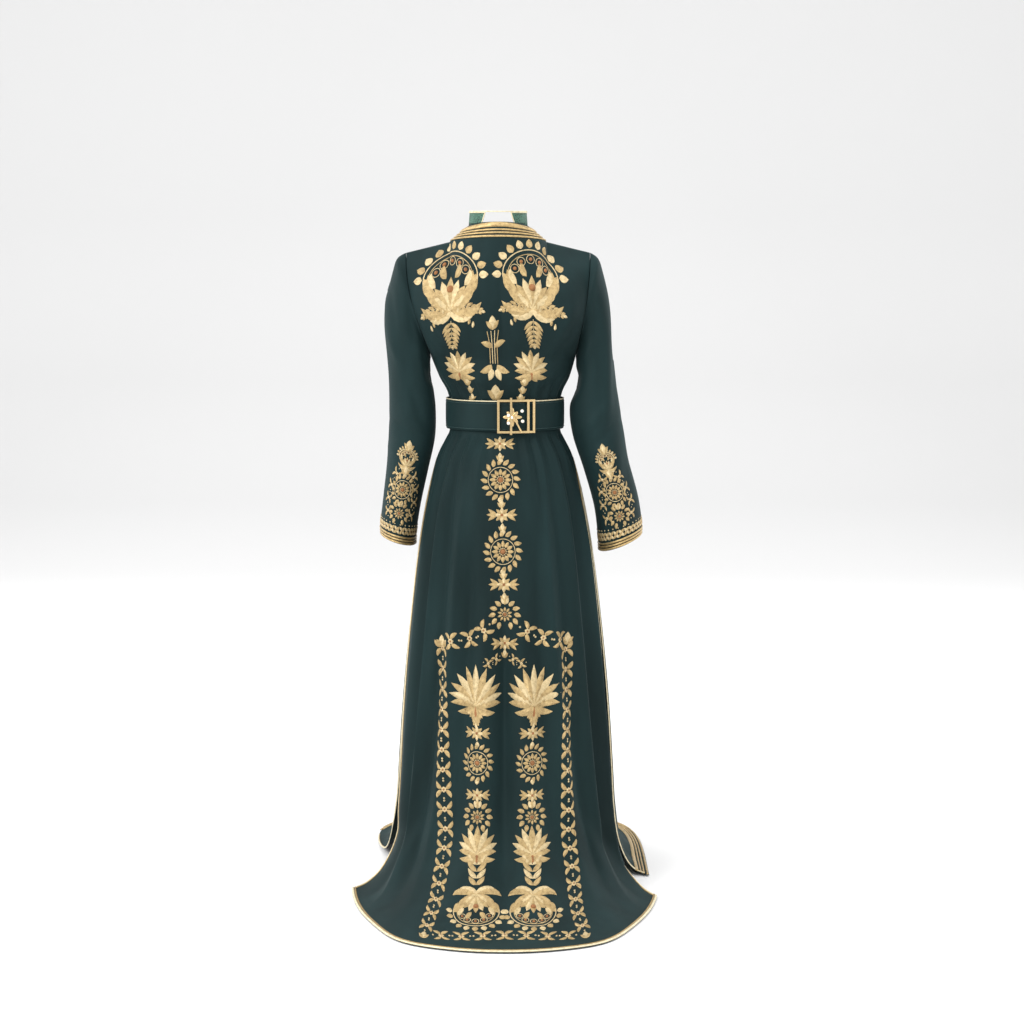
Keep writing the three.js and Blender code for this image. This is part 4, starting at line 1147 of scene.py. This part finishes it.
for offset in (-0.0075, -0.0025, 0.0025, 0.0075):
    yoke_work.at(UPPER_MIDDLE, 0.145)
    stem = [(offset * 1.6, 0.035), (offset, 0.01), (offset, -0.035)]
    yoke_work.cord(stem, 0.0016, PALE if abs(offset) < 0.005 else GOLD)
for side in (1, -1):
    yoke_work.at(UPPER_MIDDLE, 0.088)
    yoke_work.leaf((side * 0.006, 0.02), -side * 128, 0.030, 0.010, GOLD, side * 60)
    yoke_work.leaf((side * 0.006, 0.012), -side * 168, 0.026, 0.009, PALE, side * 30)
    yoke_work.leaf((side * 0.004, 0.056), -side * 52, 0.026, 0.009, GOLD, -side * 50)
bud(yoke_work, UPPER_MIDDLE, 0.048, 0.030)
bud(yoke_work, UPPER_MIDDLE, 0.196, 0.024)
upper_embroidery = yoke_work.laid("embroidery_upper_back", BACK_CLOTH)

skirt_work = Needle()
COLUMN = [(0.010, "star", -0.060), (0.010, "bud", -0.089), (0.009, "medallion", -0.137), (0.007, "bud", -0.186),
          (0.006, "star", -0.209), (0.005, "bud", -0.235), (0.004, "medallion", -0.284), (0.003, "bud", -0.331),
          (0.002, "star", -0.351), (0.001, "bud", -0.376), (0.0, "half", -0.412), (0.0, "star", -0.472),
          (0.0, "bud", -0.494)]
for across, kind, up in COLUMN:
    if kind == "star":
        star(skirt_work, across, up, 0.066, 0.033)
    elif kind == "bud":
        bud(skirt_work, across, up, 0.015)
    elif kind == "medallion":
        medallion(skirt_work, across, up, 0.076, 0.088)
    else:
        half_medallion(skirt_work, across, up, 0.067, 0.071)
for side in (1, -1):
    branch = [(side * 0.012, -0.498), (side * 0.034, -0.512), (side * 0.050, -0.508)]
    chain(skirt_work, branch, 0.022, 0.024, 0.014)
    lean_in = 0.067
    lotus(skirt_work, side * lean_in, -0.560, 0.108, 0.092, 0, 11)
    for step in range(2):
        fern(skirt_work, side * (lean_in - 0.001), -0.606 - 0.004 * step, 0.026, 0.030, 180, 3)
    star(skirt_work, side * 0.064, -0.653, 0.062, 0.031)
    medallion(skirt_work, side * 0.063, -0.713, 0.067, 0.080)
    star(skirt_work, side * 0.062, -0.778, 0.058, 0.029)
    half_medallion(skirt_work, side * 0.061, -0.822, 0.066, 0.062)
    lotus(skirt_work, side * 0.060, -0.872, 0.100, 0.066)
    for step in range(4):
        skirt_work.at(side * 0.059, -0.915 - 0.015 * step)
        for out in (1, -1):
            finish = GOLD if step % 2 else PALE
            skirt_work.leaf((0, -0.006), out * 42, 0.034 - 0.003 * step, 0.0075, finish, -out * 24)
    palmette(skirt_work, side * 0.058, -1.022, 0.118, 0.098, 180)
BORDER_SIDES = [
    [(0.030, -0.430), (0.060, -0.459), (0.090, -0.466), (0.128, -0.470), (0.152, -0.480), (0.150, -0.512),
     (0.147, -0.575), (0.145, -0.640), (0.140, -0.757), (0.136, -0.857), (0.139, -0.907), (0.150, -1.010),
     (0.160, -1.065), (0.166, -1.120)],
    [(-0.030, -0.436), (-0.070, -0.459), (-0.107, -0.465), (-0.145, -0.470), (-0.150, -0.512), (-0.147, -0.575),
     (-0.144, -0.695), (-0.143, -0.855), (-0.149, -0.925), (-0.153, -0.985), (-0.158, -1.060), (-0.166, -1.120)],
    [(0.148, -1.128), (0.104, -1.120), (0.054, -1.115), (0.0, -1.112), (-0.052, -1.112), (-0.104, -1.120),
     (-0.148, -1.128)],
]
for line in BORDER_SIDES:
    chain(skirt_work, line, 0.041, 0.043, 0.026)
for across, up in ((0.152, -0.474), (-0.150, -0.468), (0.166, -1.134), (-0.166, -1.134)):
    bud(skirt_work, across, up, 0.022, 0)
skirt_embroidery = skirt_work.laid("embroidery_skirt", BACK_CLOTH)

# The cuff embroidery: a band of leaves above the braids across the back of each sleeve, and one flower spray
# that climbs the sleeve from it.
for side in ("left", "right"):
    grid = SLEEVE_CLOTH[side]
    # Cut the tube open along its front so that the middle of the back face is the middle of the cloth.
    opened = {"points": grid["points"], "normal": grid["normal"]}
    steps = np.linalg.norm(np.diff(opened["points"], axis=1), axis=-1)
    run = np.concatenate([np.zeros((len(steps), 1)), np.cumsum(steps, axis=1)], axis=1)
    middle = SLEEVE_LINES // 2
    opened["arc"] = run - run[:, middle : middle + 1]
    lengths = np.linalg.norm(np.diff(grid["points"][:, middle], axis=0), axis=-1)
    down = np.concatenate([[0], np.cumsum(lengths)])
    opened["up"] = down[-1] - down
    work = Needle()
    for k in range(17):
        across = -0.096 + k * 0.012
        work.at(across, 0.024)
        for tilt, finish in ((35, GOLD), (-35, PALE), (145, PALE), (-145, GOLD)):
            work.leaf((0, 0.005), tilt, 0.0095, 0.0042, finish)
        work.bead((0, 0.005), 0.0014, AMBER)
        work.bead((0.006, 0.017), 0.0015, PALE)
    half_medallion(work, 0.0, 0.064, 0.052, 0.048)
    medallion(work, 0.0, 0.115, 0.056, 0.066)
    bud(work, 0.0, 0.156, 0.018)
    palmette(work, 0.0, 0.178, 0.046, 0.040)
    bud(work, 0.0, 0.208, 0.020)
    for out in (1, -1):
        vine = [(out * 0.026, 0.050), (out * 0.036, 0.085), (out * 0.030, 0.125), (out * 0.014, 0.158)]
        chain(work, vine, 0.028, 0.028, 0.015)
    sleeve_work = work.laid("embroidery_cuff_" + side, opened)

# Small gold specks and beads beside the tops of the slits, just under the belt.
for side in ("left", "right"):
    work = Needle()
    across = FRONT_CLOTH[side]["arc"][SLIT_LINE + 8]
    edge = across[0] + 0.020 if side == "left" else across[-1] - 0.020
    for k in range(5):
        bud(work, edge, -0.070 - 0.024 * k, 0.011)
    spray = work.laid("embroidery_slit_" + side, FRONT_CLOTH[side])
    trims[side].append(spray)

# The buckle: a cast frame with one upright at its left and two at its right, a middle bar, a prong and a
# flower with pearls. The bars are polished gilt metal with soft edges and fine scratches.
METAL, metal_surface = shader("gilt_metal", (0.72, 0.53, 0.27), 0.26, 1.0)
metal_tree = METAL.node_tree
metal_place = node(metal_tree, "ShaderNodeTexCoord").outputs["Object"]
metal_noise = node(metal_tree, "ShaderNodeTexNoise", {"Vector": metal_place, "Scale": 420.0, "Detail": 4.0})
metal_wear = metal_noise.outputs["Fac"]
metal_rough = node(metal_tree, "ShaderNodeMapRange", {"Value": metal_wear, "To Min": 0.16, "To Max": 0.42})
metal_tree.links.new(metal_rough.outputs["Result"], metal_surface.inputs["Roughness"])
metal_bump = {"Height": metal_wear, "Strength": 0.12, "Distance": 0.0004}
metal_relief = node(metal_tree, "ShaderNodeBump", metal_bump)
metal_tree.links.new(metal_relief.outputs["Normal"], metal_surface.inputs["Normal"])
for name in ("buckle_frame", "buckle_middle_bar"):
    carried = bpy.data.objects[name]
    carried.data.materials.clear()
    carried.data.materials.append(METAL)
cord_metal = bpy.data.objects["nape_cord"]
cord_metal.data.materials.clear()
cord_metal.data.materials.append(IVORY_CORD)

PEARL, pearl_surface = shader("pearl", (0.86, 0.82, 0.72), 0.18)
pearl_surface.inputs["Coat Weight"].default_value = 0.6
pearl_tree = PEARL.node_tree
pearl_place = node(pearl_tree, "ShaderNodeTexCoord").outputs["Object"]
pearl_noise = node(pearl_tree, "ShaderNodeTexNoise", {"Vector": pearl_place, "Scale": 300.0})
pearl_ramp = node(pearl_tree, "ShaderNodeValToRGB", {"Fac": pearl_noise.outputs["Fac"]})
pearl_ramp.color_ramp.elements[0].color = (0.80, 0.72, 0.60, 1)
pearl_ramp.color_ramp.elements[1].color = (0.92, 0.90, 0.84, 1)
pearl_tree.links.new(pearl_ramp.outputs["Color"], pearl_surface.inputs["Base Color"])


def only(piece):
    bpy.ops.object.select_all(action="DESELECT")
    piece.select_set(True)
    bpy.context.view_layer.objects.active = piece


def settle(piece, material):
    only(piece)
    bpy.ops.object.transform_apply(location=True, rotation=True, scale=True)
    piece.data.materials.clear()
    piece.data.materials.append(material)
    for polygon in piece.data.polygons:
        polygon.use_smooth = True
    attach(piece, "root")


star_low, star_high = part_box("buckle_star")
STAR = [(a + b) / 2 for a, b in zip(star_low, star_high)]
STAR_RADIUS = (star_high[0] - star_low[0]) / 2
petals = []
for k in range(8):
    bpy.ops.object.select_all(action="DESELECT")
    turn = math.radians(45 * k)
    length = STAR_RADIUS * (0.98 if k % 2 == 0 else 0.78)
    out_by, up_by = math.sin(turn) * length * 0.5, math.cos(turn) * length * 0.5
    middle = (STAR[0] + out_by, star_high[1] - 0.0010, STAR[2] + up_by)
    bpy.ops.mesh.primitive_uv_sphere_add(segments=16, ring_count=10, radius=1, location=middle)
    petal = bpy.context.object
    petal.scale = (0.0038, 0.0014, length * 0.5)
    petal.rotation_euler = (0, turn, 0)
    petals.append(petal)
star_top = (STAR[0], star_high[1], STAR[2])
bpy.ops.mesh.primitive_uv_sphere_add(segments=20, ring_count=12, radius=0.0046, location=star_top)
petals.append(bpy.context.object)
bpy.ops.object.select_all(action="DESELECT")
for petal in petals:
    petal.select_set(True)
bpy.context.view_layer.objects.active = petals[0]
bpy.ops.object.join()
flower = bpy.context.object
flower.name = "buckle_flower"
settle(flower, METAL)
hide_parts("buckle_star")

PEARL_RADIUS = 0.0036
bar_low, bar_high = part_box("buckle_middle_bar")
pearls = []
for across, height in ((0.008, 0.004), (0.008, -0.012), (0.0, 0.0), (-0.020, 0.013), (-0.021, -0.008)):
    bpy.ops.object.select_all(action="DESELECT")
    place = (STAR[0] + across, star_high[1] + PEARL_RADIUS * 0.7, STAR[2] + height)
    bpy.ops.mesh.primitive_uv_sphere_add(segments=20, ring_count=12, radius=PEARL_RADIUS, location=place)
    pearls.append(bpy.context.object)
bpy.ops.object.select_all(action="DESELECT")
for pearl in pearls:
    pearl.select_set(True)
bpy.context.view_layer.objects.active = pearls[0]
bpy.ops.object.join()
pearl_set = bpy.context.object
pearl_set.name = "buckle_pearls"
settle(pearl_set, PEARL)

# The prong: a slim bar with a bevelled end, hinged on the middle bar and lying slantwise over the frame.
bpy.ops.object.select_all(action="DESELECT")
prong_middle = ((bar_low[0] + bar_high[0]) / 2 - 0.013, bar_high[1] + 0.0012, STAR[2] - 0.014)
bpy.ops.mesh.primitive_cube_add(size=1, location=prong_middle)
prong = bpy.context.object
prong.name = "buckle_prong"
prong.scale = (0.0034, 0.0024, 0.040)
prong.rotation_euler = (0, math.radians(28), 0)
only(prong)
bpy.ops.object.transform_apply(location=False, rotation=False, scale=True)
bevel = prong.modifiers.new("soft edges", "BEVEL")
bevel.width, bevel.segments = 0.0009, 3
bpy.ops.object.modifier_apply(modifier="soft edges")
settle(prong, METAL)
